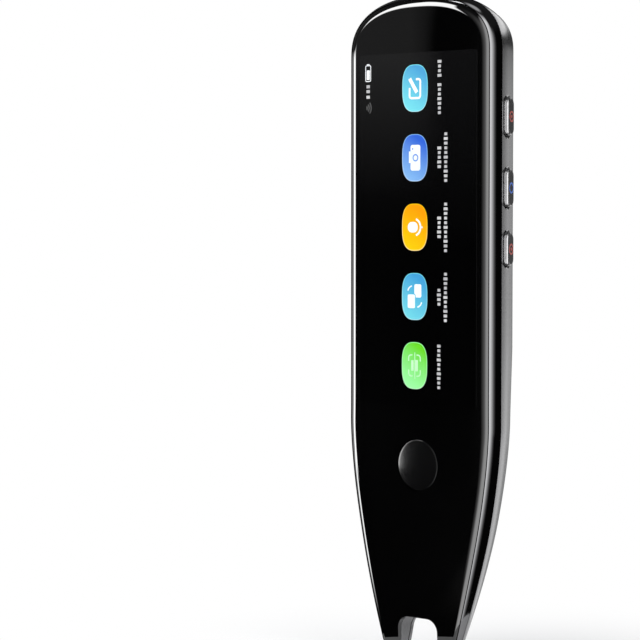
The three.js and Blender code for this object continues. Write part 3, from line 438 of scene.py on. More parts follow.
panel = skinned("front_glass", panel_loops())
front = board_at(0, 0, 0)
pocket_middle = -(pocket_start + pocket_end) / 2
pocket_shape = rectangle(2 * pocket_half, pocket_end - pocket_start, y=pocket_middle)
pocket_reach = -panel_thickness - overrun
carve(panel, prism("pocket_tool", pocket_shape, pocket_reach, -panel_face_thickness, front))
lip_shape = circle(home_lip_room, y=-home_s)
carve(panel, prism("lip_tool", lip_shape, pocket_reach, -panel_face_thickness, front))
hole_shape = circle(home_radius + home_gap, fine_sides, y=-home_s)
carve(panel, prism("hole_tool", hole_shape, pocket_reach, overrun, front))
carve(panel, fork_tool())
smooth(panel)
dress(panel, black_glass, "casing", "gloss_black", "cover_panel")

# Display picture: the lit screen that shows through the glass, drawn in thin layers on its face. It has
# a dark page, five coloured tiles in a column, each with a plain sign and a label of plain dashes, and
# a few status marks. The page is painted lighter towards the head, a painted reflection of the glass.
page_half, page_start, page_end, page_corner = 0.017, 0.0132, 0.0930, 0.0006
page_height, tile_height, sign_height = 0.00002, 0.00004, 0.00006
tile_width, tile_length, tile_roundness, tile_sides = 0.0072, 0.0105, 2.8, 72
tile_x = -0.00065
first_tile, tile_pitch = 0.0212, 0.01569
line_width = 0.0005
tile_glow = 0.3


def rounded(width, height, corner, x=0, y=0):
    w, h = width / 2 - corner, height / 2 - corner
    points = []
    for turn, (a, b) in enumerate([(w, h), (-w, h), (-w, -h), (w, -h)]):
        points += arc(x + a, y + b, corner, 90 * turn, 90 * turn + 90, steps=6)
    return points


def tile_points():
    """A square with softened sides and corners, such as touch screens use for their tiles."""
    points = []
    for i in range(tile_sides):
        angle = 2 * math.pi * i / tile_sides
        c, s = math.cos(angle), math.sin(angle)
        power = 2 / tile_roundness
        points.append((
            tile_width / 2 * math.copysign(abs(c) ** power, c),
            tile_length / 2 * math.copysign(abs(s) ** power, s),
        ))
    return points


def capped(loops):
    """Loops with each end drawn together to its middle, which closes it."""
    first, last = [sum(loop, Vector()) / len(loop) for loop in (loops[0], loops[-1])]
    return [[first] * len(loops[0]), *loops, [last] * len(loops[-1])]


def stroke(name, points, width, low, high, board, closed=False):
    """A drawn line of even width that follows points on a board, with square ends."""
    loops = []
    count = len(points)
    for i, (x, y) in enumerate(points):
        before = points[(i - 1) % count] if closed or i else points[i]
        after = points[(i + 1) % count] if closed or i < count - 1 else points[i]
        along = Vector((after[0] - before[0], after[1] - before[1])).normalized()
        side = Vector((-along.y, along.x)) * width / 2
        corners = [(side, low), (side, high), (-side, high), (-side, low)]
        loops.append([board @ Vector((x + o.x, y + o.y, h)) for o, h in corners])
    return loft(name, [*loops, loops[0]] if closed else capped(loops))


def joined(name, parts):
    """Several drawn parts as one mesh."""
    bpy.ops.object.select_all(action="DESELECT")
    for part in parts:
        part.select_set(True)
    bpy.context.view_layer.objects.active = parts[0]
    bpy.ops.object.join()
    piece = bpy.context.object
    piece.name = name
    return piece


def drawn(name, shapes, high, board):
    """A sign from shapes of points, line width and whether the line closes; width 0 is filled in."""
    parts = []
    for points, width, closed in shapes:
        if width:
            parts.append(stroke(name, points, width, -page_height, high, board, closed))
        else:
            parts.append(prism(name, points, -page_height, high, board))
    return joined(name, parts)


def along_piece(material, centre, direction, reach):
    """A ramp from 0 to 1 over a reach on both sides of a centre, along a direction, on a piece."""
    nodes, links = material.node_tree.nodes, material.node_tree.links
    place = nodes.new("ShaderNodeTexCoord")
    dot = nodes.new("ShaderNodeVectorMath")
    dot.operation = "DOT_PRODUCT"
    dot.inputs[1].default_value = direction
    spread = nodes.new("ShaderNodeMapRange")
    middle = Vector(centre).dot(Vector(direction))
    spread.inputs["From Min"].default_value = middle - reach
    spread.inputs["From Max"].default_value = middle + reach
    links.new(place.outputs["Object"], dot.inputs[0])
    links.new(dot.outputs["Value"], spread.inputs["Value"])
    return spread.outputs["Result"]


def lit(material, strength):
    """Lets a screen colour glow a little with its own colour."""
    nodes, links = material.node_tree.nodes, material.node_tree.links
    shader = nodes["Principled BSDF"]
    source = shader.inputs["Base Color"].links[0].from_socket
    links.new(source, shader.inputs["Emission Color"])
    shader.inputs["Emission Strength"].default_value = strength


def screen_colour(name, first, second, glow):
    """A colour on the screen, with the faint unevenness of its picture dots."""
    material = grained(name, second, 400, tones=(first, second), roughness=0.06)
    lit(material, glow)
    return material


# The page's near-black is painted lighter from its middle towards the head: a painted reflection.
page_material = new_material("screen_page", (0.003, 0.003, 0.0033), roughness=0.02, specular=1)
page_middle = (0, display_face, head_top - (page_start + page_end) / 2)
painted_reflection_ramp = along_piece(page_material, page_middle, (0, 0, 1), (page_end - page_start) / 2)
vary_colour(
    page_material, painted_reflection_ramp, (0.0006, 0.0006, 0.0007), (0.0055, 0.0055, 0.0058), low=0.45, high=1)
page_shape = rounded(2 * page_half, page_end - page_start, page_corner, y=-(page_start + page_end) / 2)
page = prism("screen_page", page_shape, -page_height, page_height, front)
dress(page, page_material, "casing", "screen")

sign_white = screen_colour("sign_white", (0.8, 0.84, 0.88), (0.95, 0.96, 0.96), 0.3)
sign_pale = screen_colour("sign_pale", (0.46, 0.82, 0.46), (0.58, 0.9, 0.58), 0.25)
label_grey = screen_colour("label_grey", (0.42, 0.42, 0.43), (0.58, 0.58, 0.58), 0.25)
dim_grey = screen_colour("dim_grey", (0.07, 0.07, 0.07), (0.1, 0.1, 0.1), 0.2)


# Each sign is a list of layers, from the lowest up. The second layer is cut out in the tile's colour.
def pencil_sign():
    """A pencil over an open square."""
    square = [(0.0003, 0.0020), *arc(0.0010, 0.00145, 0.00055, 90, 0, 4),
              *arc(0.0010, -0.0017, 0.00055, 0, -90, 4), *arc(-0.0010, -0.0017, 0.00055, -90, -180, 4),
              (-0.00155, 0.0001)]
    shaft = [(-0.0015, 0.0022), (-0.0013, 0.0018), (0.0003, -0.0006), (0.00055, -0.0010)]
    return [[(square, line_width, False), (shaft, 0.0009, False)]]


def camera_sign():
    """A camera lying on its side, with its lens as a ring."""
    case = rounded(0.0028, 0.0058, 0.0005, x=0.00018)
    hump = rectangle(0.0009, 0.0026, x=-0.00125, y=0.00015)
    ring = circle(0.0007, sides=24, x=0.0002)
    lamp = circle(0.0002, sides=12, x=-0.0006, y=0.0020)
    return [[(case, 0, False), (hump, 0, False)], [(ring, 0.00028, True), (lamp, 0, False)]]


def microphone_sign():
    """A microphone lying on its side in its holder."""
    head = rounded(0.0029, 0.0024, 0.00115, x=-0.00055)
    holder = arc(-0.0002, 0, 0.0019, -72, 72, steps=16)
    stem = [(0.0016, 0), (0.0023, 0)]
    return [[(head, 0, False), (holder, 0.00045, False), (stem, 0.0004, False)]]


def cards_sign():
    """Two cards side by side, with the turn from one to the other."""
    upper = rounded(0.0020, 0.0030, 0.0004, x=0.00095, y=0.0013)
    lower = rounded(0.0021, 0.0031, 0.0004, x=-0.0009, y=-0.0011)
    notch = rounded(0.0025, 0.0035, 0.0005, x=-0.0009, y=-0.0011)
    turn_up = arc(-0.0005, 0.0009, 0.0015, 100, 165, steps=8)
    turn_down = arc(0.0006, -0.0009, 0.0015, 280, 345, steps=8)
    white = [(upper, 0, False), (turn_up, 0.0003, False), (turn_down, 0.0003, False)]
    return [white, [(notch, 0, False)], [(lower, 0, False)]]


def frame_sign():
    """The four corners of a scan frame round a line of print."""
    shapes = []
    for a in (-1, 1):
        for b in (-1, 1):
            turn = arc(0.0010, 0.0017, 0.0007, 90, 0, 5)
            corner = [(0.0006, 0.0024), *turn, (0.0017, 0.0010)]
            shapes.append(([(a * x, b * y) for x, y in corner], 0.0003, False))
    shapes.append(([(0.0001, -0.0030), (0.0001, 0.0030)], 0.00022, False))
    shapes.append((rounded(0.0009, 0.0026, 0.00015, x=0.00055), 0, False))
    shapes.append((rounded(0.0007, 0.0024, 0.00015, x=-0.0006), 0, False))
    return [shapes]


# Name, sign, lighter and deeper colour, and the groups of dashes in each row of the label.
tiles = [
    ("note", pencil_sign, (0.17, 0.66, 0.74), (0.07, 0.33, 0.6), ((4, 7),)),
    ("picture", camera_sign, (0.2, 0.42, 0.75), (0.03, 0.115, 0.6), ((5,), (11,))),
    ("voice", microphone_sign, (0.9, 0.53, 0.003), (0.9, 0.3, 0.002), ((5,), (11,))),
    ("cards", cards_sign, (0.15, 0.6, 0.7), (0.05, 0.31, 0.6), ((4,), (11,))),
    ("scan", frame_sign, (0.3, 0.84, 0.33), (0.13, 0.62, 0.02), ((10,),)),
]
light_direction = Vector((-0.5, 0, -0.85)).normalized()
rim_width, white_share = 0.00016, 0.3
row_x, row_pitch = 0.0064, 0.00185
dash_pitch, dash_share = 0.00104, 0.62
dash_heights = (0.0011, 0.0008, 0.0008, 0.00095, 0.0008, 0.0011, 0.0008)


def label_row(counts, x):
    """A row of dashes in groups of some counts, centred on its tile."""
    cells = sum(counts) + len(counts) - 1
    place = cells * dash_pitch / 2
    shapes = []
    for count in counts:
        for i in range(count):
            height = dash_heights[(3 * i + cells) % len(dash_heights)]
            dash = rectangle(height, dash_pitch * dash_share, x=x, y=place - dash_pitch / 2)
            shapes.append((dash, 0, False))
            place -= dash_pitch
        place -= dash_pitch
    return shapes


def tile_colour(name, centre, dark, light, start, end):
    """A screen colour that runs from dark to light across a tile."""
    material = new_material(name, dark, roughness=0.08)
    ramp = along_piece(material, centre, light_direction, tile_length / 2)
    vary_colour(material, ramp, dark, light, start, end)
    lit(material, tile_glow)
    return material


for number, (name, sign, light, deep, rows) in enumerate(tiles):
    tile_s = first_tile + tile_pitch * number
    board = board_at(tile_x, tile_s, 0)
    centre = (tile_x, display_face, head_top - tile_s)
    tile = prism("tile_" + name, tile_points(), -page_height, tile_height, board)
    material = tile_colour("tile_" + name, centre, deep, light, start=0.1, end=0.95)
    dress(tile, material, "casing", "screen")
    rim = stroke("tile_rim_" + name, tile_points(), rim_width,
                 -page_height, tile_height + page_height / 2, board, closed=True)
    pale = [white_share + (1 - white_share) * c for c in light]
    rim_material = tile_colour("tile_rim_" + name, centre, light, pale, start=0.2, end=0.9)
    dress(rim, rim_material, "casing", "screen")
    ink = sign_pale if name == "scan" else sign_white
    for level, shapes in enumerate(sign()):
        layer = drawn(f"sign_{name}_{level}", shapes, sign_height + level * page_height, board)
        dress(layer, material if level == 1 else ink, "casing", "screen")
    dashes = []
    for row, counts in enumerate(rows):
        dashes += label_row(counts, row_x + row_pitch * row - tile_x)
    dress(drawn("label_" + name, dashes, tile_height, board), label_grey, "casing", "screen")

status_x = -0.0145
battery_s, charge_s, waves_s = 0.0174, 0.0216, 0.0253
cell = board_at(status_x, battery_s, 0)
battery_shapes = [
    (rounded(0.0015, 0.0036, 0.0003), 0.00018, True),
    (rectangle(0.0008, 0.0002, y=0.00205), 0, False),
    (rounded(0.0009, 0.0022, 0.0001, y=-0.00035), 0, False),
]
dress(drawn("status_battery", battery_shapes, tile_height, cell), sign_white, "casing", "screen")
charge_shapes = [(rectangle(0.0010, 0.0007, y=y), 0, False) for y in (0.0012, 0.0001, -0.0012)]
charge = drawn("status_charge", charge_shapes, tile_height, board_at(status_x, charge_s, 0))
dress(charge, label_grey, "casing", "screen")
wave_shapes = [(arc(-0.0009, 0, ring, -42, 42, steps=8), 0.0003, False) for ring in (0.0006, 0.0012, 0.0018)]
waves = drawn("status_waves", wave_shapes, tile_height, board_at(status_x, waves_s, 0))
dress(waves, dim_grey, "casing", "screen")

# Home button: a round satin key in the glass, turned with a slight crown and a thin rounded bevel.
# A lip behind the glass keeps it in, and a stem reaches the switch on its own small board.
home_recess = 0.00012
home_crown = 0.00018
home_bevel = 0.00028
home_lip = 0.0009
home_lip_front, home_lip_back = 0.0014, 0.0020
home_stem = 0.0013
crown_rings, bevel_rings = 12, 6


def turned(name, pairs, board, sides=fine_sides):
    """A turned piece from pairs of radius and height above a board."""
    return loft(name, [on_board(circle(radius, sides), height, board) for radius, height in pairs])


home_end = home_high.y - display_face
pairs = [(0, -home_recess)]
for i in range(1, crown_rings + 1):
    share = i / crown_rings
    pairs.append(((home_radius - home_bevel) * share, -home_recess - home_crown * share ** 2))
for angle in quarter_turn(bevel_rings, first=1):
    pairs.append((
        home_radius - home_bevel * (1 - math.sin(angle)),
        -home_recess - home_crown - home_bevel * (1 - math.cos(angle)),
    ))
pairs += [
    (home_radius, -home_lip_front), (home_radius + home_lip, -home_lip_front),
    (home_radius + home_lip, -home_lip_back), (home_stem, -home_lip_back),
    (home_stem, -home_end), (0, -home_end),
]
home_key = turned("home_key", pairs, board_at(0, home_s, 0))
smooth(home_key, 40)
satin_key = grained(
    "home_key", (0.002, 0.002, 0.0022), 2500, detail=2, rough_range=(0.1, 0.15),
    relief=(0.02, 0.00001), specular=0.4)
dress(home_key, satin_key, "home_button", "home_key", "home_button")

# Bright frame: a polished dark metal ring between the glass and the rear shell. It carries on the
# rounding of the glass down to the seam, and has a shelf under the glass. It stops beside the fork.
frame_inner_inset = 0.0032
seat_gap = 0.0003
hood_wall = 0.0011
frame_steps = 18


def beside_glass(share, depth):
    """The outline at a share of the inset that leaves a thin gap beside the glass."""
    return loop_at(lambda s: (parting_inset(s) - parting_gap) * share, lambda s: layer_depth(s, depth))


def frame_loops():
    """Outlines round the frame's section: its rounded face, its inner side and the shelf."""
    loops = []
    for i in range(frame_steps + 1):
        angle = parting_turn + (math.pi / 2 - parting_turn) * i / frame_steps
        share = (1 - math.sin(angle)) / (1 - math.sin(parting_turn))
        loops.append(beside_glass(share, seam_depth * (1 - math.cos(angle))))
    shelf = panel_thickness + seam_gap
    loops += [layer_loop(frame_inner_inset, depth) for depth in (seam_depth, shelf)]
    return [*loops, beside_glass(1, shelf), loops[0]]


bright_frame = loft("bright_frame", frame_loops())
carve(bright_frame, fork_tool(hood_wall + seat_gap, 0))
smooth(bright_frame)
plating = grained("dark_plating", (0.2, 0.2, 0.205), 400, detail=4, rough_range=(0.06, 0.11), metallic=1)
dress(bright_frame, plating, "casing", "bright_frame", "bright_frame")

# Rear shell: one moulded tray in a fine metallic gunmetal finish, with a tilted side facet, a large
# rounding and a flat strip down the back. Slots, holes and seats are cut through its wall.
facet_tilt = math.radians(15)
facet_end = 0.0088
facet_swell = 0.0002
crown_drop = 0.0002
crown_share = 0.5
shell_wall = 0.0013
tip_wall = 0.0009
hood_travel = 0.0008
facet_steps, round_steps, crown_steps = 6, 14, 4
back_out = Vector((0, 1, 0))


def rear_depth(s, depth):
    seam = layer_depth(s, seam_depth)
    share = (depth - seam_depth) / (body_thickness - seam_depth)
    return seam + share * (back_depth(s) - seam)


def seam_below(s):
    return layer_depth(s, seam_depth) + seam_gap


def past_edge(s):
    """Outside the pen's edge or its face, for a body that cuts right through."""
    return -overrun


def drawn_in(loop, share, drop, wall):
    """A loop drawn in towards the middle line of the pen, on the crown of the back."""
    spine_start, spine_end = head_height, body_length - notch_depth
    points = []
    for p in loop:
        s = head_top - p.z
        spine = min(spine_end, max(spine_start, s))
        s += (spine - s) * share
        depth = back_depth(s) - drop - wall
        points.append(Vector((p.x * (1 - share), depth - body_thickness, head_top - s)))
    return points


def wall_loop(inset, side, depth, back):
    """The outline on the rear wall, moved in from the side and from the back by two measures."""
    return loop_at(lambda s: inset * edge_share(s) + side, lambda s: rear_depth(s, depth) - back)


def shell_loops(wall):
    """Outlines from the seam over the facet, the rounding and the crown of the back, for the outside of
    the shell, or for its inside where a wall is given."""
    start = seam_depth + seam_gap
    facet_inset = (facet_end - start) * math.tan(facet_tilt)
    round_depth = body_thickness - crown_drop
    radius = (round_depth - facet_end) / (1 - math.sin(facet_tilt))
    side_inset = wall / math.cos(facet_tilt)
    loops = []
    if wall:
        loops.append(loop_at(lambda s: side_inset, past_edge))
    loops.append(loop_at(lambda s: side_inset, seam_below))
    for i in range(1, facet_steps):
        share = i / facet_steps
        inset = facet_inset * share - 4 * facet_swell * share * (1 - share)
        depth = start + (facet_end - start) * share
        loops.append(wall_loop(inset, side_inset, depth, wall * math.sin(facet_tilt)))
    for i in range(round_steps + 1):
        angle = facet_tilt + (math.pi / 2 - facet_tilt) * i / round_steps
        inset = facet_inset + radius * (math.cos(facet_tilt) - math.cos(angle))
        depth = facet_end + radius * (math.sin(angle) - math.sin(facet_tilt))
        loops.append(wall_loop(inset, wall * math.cos(angle), depth, wall * math.sin(angle)))
    last = loops[-1]
    for i in range(1, crown_steps + 1):
        share = i / crown_steps
        drop = crown_drop * (1 - share) ** 2
        loops.append(drawn_in(last, crown_share * share, drop, wall))
    return loops


def clip(piece, s, keep_above):
    """Cuts a closed body straight across the pen and closes the cut."""
    select_only(piece)
    bpy.ops.object.mode_set(mode="EDIT")
    bpy.ops.mesh.select_all(action="SELECT")
    bpy.ops.mesh.bisect(
        plane_co=(0, 0, head_top - s), plane_no=(0, 0, 1), use_fill=True,
        clear_inner=keep_above, clear_outer=not keep_above)
    bpy.ops.object.mode_set(mode="OBJECT")


def slab(name, half, start, end, low, high):
    """A block across the pen between two distances from the head and two depths."""
    shape = rectangle(2 * half, end - start, y=-(start + end) / 2)
    return prism(name, shape, low, high, board_at(0, 0, 0, back_out))


shell = skinned("rear_shell_skin", shell_loops(0))
room = skinned("room_tool", shell_loops(shell_wall))
room_end = body_length - notch_depth - hood_wall - seat_gap - hood_travel - tip_wall
clip(room, room_end, keep_above=True)
carve(shell, room)


def core_inset(s):
    return frame_inner_inset * edge_share(s) + seam_gap


cores = skinned("cores_tool", [
    loop_at(core_inset, lambda s: layer_depth(s, panel_thickness) + seam_gap),
    loop_at(core_inset, lambda s: seam_below(s) + seam_gap),
])
clip(cores, body_length - notch_depth, keep_above=False)
carve(shell, cores, "UNION")

slide_start = body_length - notch_depth - hood_wall - 2 * seat_gap - hood_travel - 2 * tip_wall
slide = skinned("slide_tool", [
    loop_at(past_edge, past_edge), loop_at(past_edge, lambda s: back_depth(s) - tip_wall)])
slide_half = notch_half + hood_wall + seat_gap
slide_block = slab(
    "slide_block", slide_half, slide_start, body_length + 2 * overrun, -overrun, body_thickness)
carve(slide, slide_block, "INTERSECT")
carve(shell, slide)
carve(shell, fork_tool())

# Screw posts, and the holes for their screws.
boss_radius, pilot_radius = 0.0017, 0.00075
boss_front, pilot_end = 0.00585, 0.0093
boss_sides, small_sides = 32, 24
screws = [f"screw_{row}_{side}" for row in (1, 2, 3) for side in ("right", "left")]


def place_of(node):
    """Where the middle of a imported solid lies: its X, and its distance from the head."""
    low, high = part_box(node)
    return (low.x + high.x) / 2, head_top - (low.z + high.z) / 2


for screw in screws:
    screw_x, screw_s = place_of(screw)
    from_behind = board_at(screw_x, screw_s, 0, back_out)
    post_end = back_depth(screw_s) - shell_wall / 2
    post = prism("post_tool", circle(boss_radius, boss_sides), boss_front, post_end, from_behind)
    carve(shell, post, "UNION")
    carve(shell, prism("pilot_tool", circle(pilot_radius, small_sides), 0, pilot_end, from_behind))

# Slots of the side buttons, the camera's seat, the speaker's holes and the mouths in the head. Each
# is cut by a body that widens at its mouth, so that its edge is eased.
slot_half_width, slot_ease = 0.002, 0.00022
slot_lengths = {"record": 0.0091, "voice": 0.0091, "power": 0.0082}
facet_out = Vector((math.cos(facet_tilt), math.sin(facet_tilt), 0))
facet_depth = (seam_depth + facet_end) / 2


def facet_board(s):
    inset = (facet_depth - seam_depth - seam_gap) * math.tan(facet_tilt)
    return board_at(half_width - inset, s, facet_depth, facet_out)


def capsule(length, width, steps=16):
    radius = width / 2
    straight = length / 2 - radius
    return arc(0, straight, radius, 0, 180, steps) + arc(0, -straight, radius, 180, 360, steps)


def eased_tool(shapes, heights, board):
    """A cutting body through outlines of equal count at rising heights."""
    loops = [on_board(points, height, board) for points, height in zip(shapes, heights)]
    return loft("eased_tool", capped(loops))


button_s = {}
for name, length in slot_lengths.items():
    button_s[name] = place_of(name + "_button")[1]
    shapes = []
    for grow in (0, 0, slot_ease, 4 * slot_ease):
        shapes.append(capsule(length + 2 * grow, 2 * slot_half_width + 2 * grow))
    heights = (-shell_wall - overrun, -slot_ease, 0, 3 * slot_ease)
    carve(shell, eased_tool(shapes, heights, facet_board(button_s[name])))

camera_low, camera_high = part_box("camera_trim")
camera_s = place_of("camera_trim")[1]
camera_radius = (camera_high.x - camera_low.x) / 2
seat_radius, seat_ease = camera_radius + seam_gap, 0.0002
seat_shapes = [circle(seat_radius + grow, fine_sides) for grow in (0, 0, seat_ease, 6 * seat_ease)]
seat_heights = (-2 * shell_wall, -1.5 * seat_ease, -0.5 * seat_ease, 4.5 * seat_ease)
carve(shell, eased_tool(seat_shapes, seat_heights, board_at(0, camera_s, body_thickness, back_out)))

speaker_s = place_of("speaker")[1]
hole_radius, hole_ease, hole_sides = 0.0004, 0.00008, 20
field_half_width, field_half_height, outer_holes = 0.00585, 0.0034, 16
hole_pitch, hole_row_pitch, inner_rows = 0.002, 0.0016, (4, 5, 4)
hole_places = []
for i in range(outer_holes):
    angle = 2 * math.pi * (i + 0.5) / outer_holes
    hole_places.append((field_half_width * math.cos(angle), field_half_height * math.sin(angle)))
for row, count in enumerate(inner_rows):
    for i in range(count):
        hole_places.append(((i - (count - 1) / 2) * hole_pitch, (row - 1) * hole_row_pitch))
hole_tools = []
for x, y in hole_places:
    shapes = [circle(hole_radius + grow, hole_sides, x, y) for grow in (0, 0, hole_ease, 6 * hole_ease)]
    heights = (-2 * shell_wall, -hole_ease, 0, 5 * hole_ease)
    hole_tools.append(eased_tool(shapes, heights, board_at(0, speaker_s, body_thickness, back_out)))
carve(shell, joined("holes_tool", hole_tools))

socket_half, socket_radius, socket_depth, socket_steps = 0.00287, 0.0016, 0.0072, 14
mouth_ease, mouth_flare, mouth_start = 0.0004, 0.0012, -0.0003
top_board = Matrix(((-1, 0, 0), (0, 1, 0), (0, 0, 1))).to_4x4()
top_board.translation = (0, socket_depth - body_thickness, head_top)


def socket_points(margin):
    radius = socket_radius + margin
    right = arc(socket_half, 0, radius, -90, 90, socket_steps)
    return right + arc(-socket_half, 0, radius, 90, 270, socket_steps)


mouth_shapes = [socket_points(margin) for margin in (seam_gap, seam_gap, mouth_ease, mouth_flare)]
mouth_heights = (-shell_wall - overrun, mouth_start, 0, mouth_flare - mouth_ease)
carve(shell, eased_tool(mouth_shapes, mouth_heights, top_board))
sound_x, sound_radius = 0.009, 0.00045
sound_board = top_board.copy()
sound_board.translation.x = sound_x
sound_hole = circle(sound_radius, small_sides)
carve(shell, prism("sound_tool", sound_hole, -shell_wall - overrun, overrun, sound_board))
smooth(shell, 35)

gunmetal = grained(
    "gunmetal", (0.3, 0.3, 0.305), 2600, detail=2, rough_range=(0.18, 0.26),
    tones=((0.27, 0.27, 0.275), (0.34, 0.34, 0.345)), relief=(0.05, 0.00002), metallic=0.95)
dress(shell, gunmetal, "casing", "gunmetal", "rear_shell")

# Side buttons: three metallised caps with rounded edges that float in their slots, kept in by a lip
# behind the wall. Each has a satin graphite inlay with a small printed ring, and two have a dot in it.
cap_gap = 0.0003
cap_height = 0.00115
cap_bevel = 0.0004
cap_lip, lip_thickness = 0.0006, 0.0006
cap_bevel_steps = 6
inlay_margin, inlay_height = 0.00045, 0.00002
mark_radius, mark_width, mark_height = 0.00125, 0.00038, 0.00004
mark_sides, dot_share = 40, 0.45
cap_metal = grained(
    "button_metal", (0.36, 0.36, 0.365), 1800, rough_range=(0.23, 0.29),
    tones=((0.33, 0.33, 0.335), (0.39, 0.39, 0.395)), metallic=0.95)
graphite = grained(
    "graphite", (0.014, 0.014, 0.0145), 2400, detail=2, rough_range=(0.3, 0.4),
    tones=((0.010, 0.010, 0.0105), (0.018, 0.018, 0.0185)), specular=0.12)
mark_red, mark_blue = (0.34, 0.03, 0.018), (0.006, 0.09, 0.45)
mark_colours = {"record": mark_red, "voice": mark_blue, "power": mark_red}


def cap_loops(length, width, board):
    """Outlines of a cap from its lip up the side and over the rounded edge. Both ends are flattened
    onto the cap's middle line, which closes them."""
    lip_top = -shell_wall - seat_gap
    lip_bottom = lip_top - lip_thickness
    sections = [(0, lip_bottom, cap_lip), (0, lip_top, cap_lip), (0, lip_top, 0)]
    for angle in quarter_turn(cap_bevel_steps):
        inset = cap_bevel * (1 - math.cos(angle))
        sections.append((inset, cap_height - cap_bevel * (1 - math.sin(angle)), 0))
    drawings = []
    for inset, height, lip in sections:
        drawings.append((capsule(length + 2 * lip - 2 * inset, width - 2 * inset), height))
    ends = [([(0, y) for x, y in points], height) for points, height in (drawings[0], drawings[-1])]
    return [on_board(points, height, board) for points, height in (ends[0], *drawings, ends[1])]


for name, length in slot_lengths.items():
    board = facet_board(button_s[name])
    cap = loft(name + "_cap", cap_loops(length - 2 * cap_gap, 2 * slot_half_width - 2 * cap_gap, board))
    smooth(cap, 40)
    dress(cap, cap_metal, name + "_button", "button_metal", name + "_button")
    margin = 2 * (cap_gap + inlay_margin)
    inlay_shape = capsule(length - margin, 2 * slot_half_width - margin)
    inlay = prism(name + "_inlay", inlay_shape, cap_height - inlay_height, cap_height + inlay_height, board)
    dress(inlay, graphite, name + "_button", "button_metal")
    colour = mark_colours[name]
    ink_tones = ([0.85 * c for c in colour], [1.1 * c for c in colour])
    ink = grained(name + "_ink", colour, 1500, tones=ink_tones, roughness=0.3)
    outer, inner = mark_radius, mark_radius - mark_width
    low, high = cap_height - mark_height, cap_height + mark_height
    ring_pairs = [(outer, low), (outer, high), (inner, high), (inner, low), (outer, low)]
    mark = turned(name + "_mark", ring_pairs, board, mark_sides)
    if name != "voice":
        dot = dot_share * inner
        dot_pairs = [(0, low), (dot, low), (dot, high), (0, high)]
        mark = joined(name + "_mark", [mark, turned("dot", dot_pairs, board, small_sides)])
    smooth(mark)
    dress(mark, ink, name + "_button", "button_metal")

# Rear camera: a black turned ring, set flush in its seat in the back, with a polished rim and a dished
# cone. A small coated lens stands in the middle of the cone. Its blue has painted shading and a painted
# highlight: it is painted lighter towards the head and away from the side buttons.
trim_face = -0.00005
trim_rim, trim_bevel, trim_dish, trim_thickness = 0.0005, 0.00025, 0.00055, 0.00165
rim_step, groove_width, groove_depth = 0.00012, 0.0002, 0.0003
cone_foot, sight_lip, lip_rise = 1.7, 1.65, 0.0001
trim_bevel_steps, dome_steps, lens_sides = 4, 8, 48
sight_radius, lens_radius, lens_height = 0.0013, 0.00095, 0.0007
trim_board = board_at(0, camera_s, body_thickness, back_out)
trim_back = trim_face - trim_thickness
inner_rim = camera_radius - trim_rim
ring_pairs = [(sight_radius, trim_back), (camera_radius, trim_back), (camera_radius, trim_face - trim_bevel)]
for angle in quarter_turn(trim_bevel_steps, first=1):
    ring_pairs.append((
        camera_radius - trim_bevel * (1 - math.cos(angle)), trim_face - trim_bevel * (1 - math.sin(angle))))
dish = trim_face - trim_dish
ring_pairs += [
    (inner_rim, trim_face), (inner_rim - rim_step, trim_face - rim_step),
    (inner_rim - groove_width, trim_face - groove_depth), (cone_foot * sight_radius, dish),
    (sight_lip * sight_radius, dish + lip_rise), (sight_radius, dish), (sight_radius, trim_back),
]
trim = turned("camera_ring", ring_pairs, trim_board)
smooth(trim, 25)
trim_black = grained(
    "trim_black", (0.012, 0.012, 0.014), 900, stretch=(1, 0.2, 1), rough_range=(0.07, 0.15), coat=0.4)
dress(trim, trim_black, "casing", "gloss_black", "camera_trim")
dome = [(0, trim_back), (lens_radius, trim_back), (lens_radius, trim_back + lens_height / 2)]
for angle in quarter_turn(dome_steps, first=1):
    dome.append((
        lens_radius * max(0, math.cos(angle)), trim_back + lens_height / 2 * (1 + math.sin(angle))))
dome[-1] = (0, dome[-1][1])
lens = turned("camera_glass", dome, trim_board, lens_sides)
smooth(lens, 40)
lens_coating_and_highlight = new_material("lens_coating_and_highlight", (0.05, 0.04, 0.22), roughness=0.03, specular=0.9, coat=1)
# The coating's deep blue is painted darker towards the tip and lighter towards the head: a painted highlight.
lens_centre = (0, 0, head_top - camera_s)
lens_highlight_ramp = along_piece(lens_coating_and_highlight, lens_centre, (-0.7, 0, 0.7), lens_radius)
vary_colour(lens_coating_and_highlight, lens_highlight_ramp, (0.02, 0.03, 0.16), (0.16, 0.07, 0.42), low=0.2, high=0.9)
dress(lens, lens_coating_and_highlight, "casing", "lens", "camera_lens")

# Scan hood: a matt grey U that lines the fork and slides up when its feet are pressed on the paper.
# A smoked pane in its web lets the light of the scanner out.
hood_reach = 0.0008
hood_ease, ease_steps, ease_angle = 0.00018, 3, math.radians(50)
pane_gap = 0.00005
bend_steps, foot_steps = 14, 10
window_low, window_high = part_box("scan_window")
hood_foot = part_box("scan_hood")[0].z


def hood_front(s):
    return layer_depth(s, panel_thickness) + seat_gap


def hood_back(s):
    return back_depth(s) - tip_wall - seat_gap


def hood_points():
    """The U from the front: over its outside, round its left foot, back over its inside to the other."""
    inner, outer = notch_half, notch_half + hood_wall
    top, foot = notch_depth, -hood_reach + hood_wall / 2
    outer_round = notch_corner + hood_wall
    points = arc(outer - outer_round, top + hood_wall - outer_round, outer_round, 0, 90, bend_steps)
    points += arc(outer_round - outer, top + hood_wall - outer_round, outer_round, 90, 180, bend_steps)
    points += arc(-outer + hood_wall / 2, foot, hood_wall / 2, 180, 360, foot_steps)
    points += arc(notch_corner - inner, top - notch_corner, notch_corner, 180, 90, bend_steps)
    points += arc(inner - notch_corner, top - notch_corner, notch_corner, 90, 0, bend_steps)
    return points + arc(inner + hood_wall / 2, foot, hood_wall / 2, 180, 360, foot_steps)


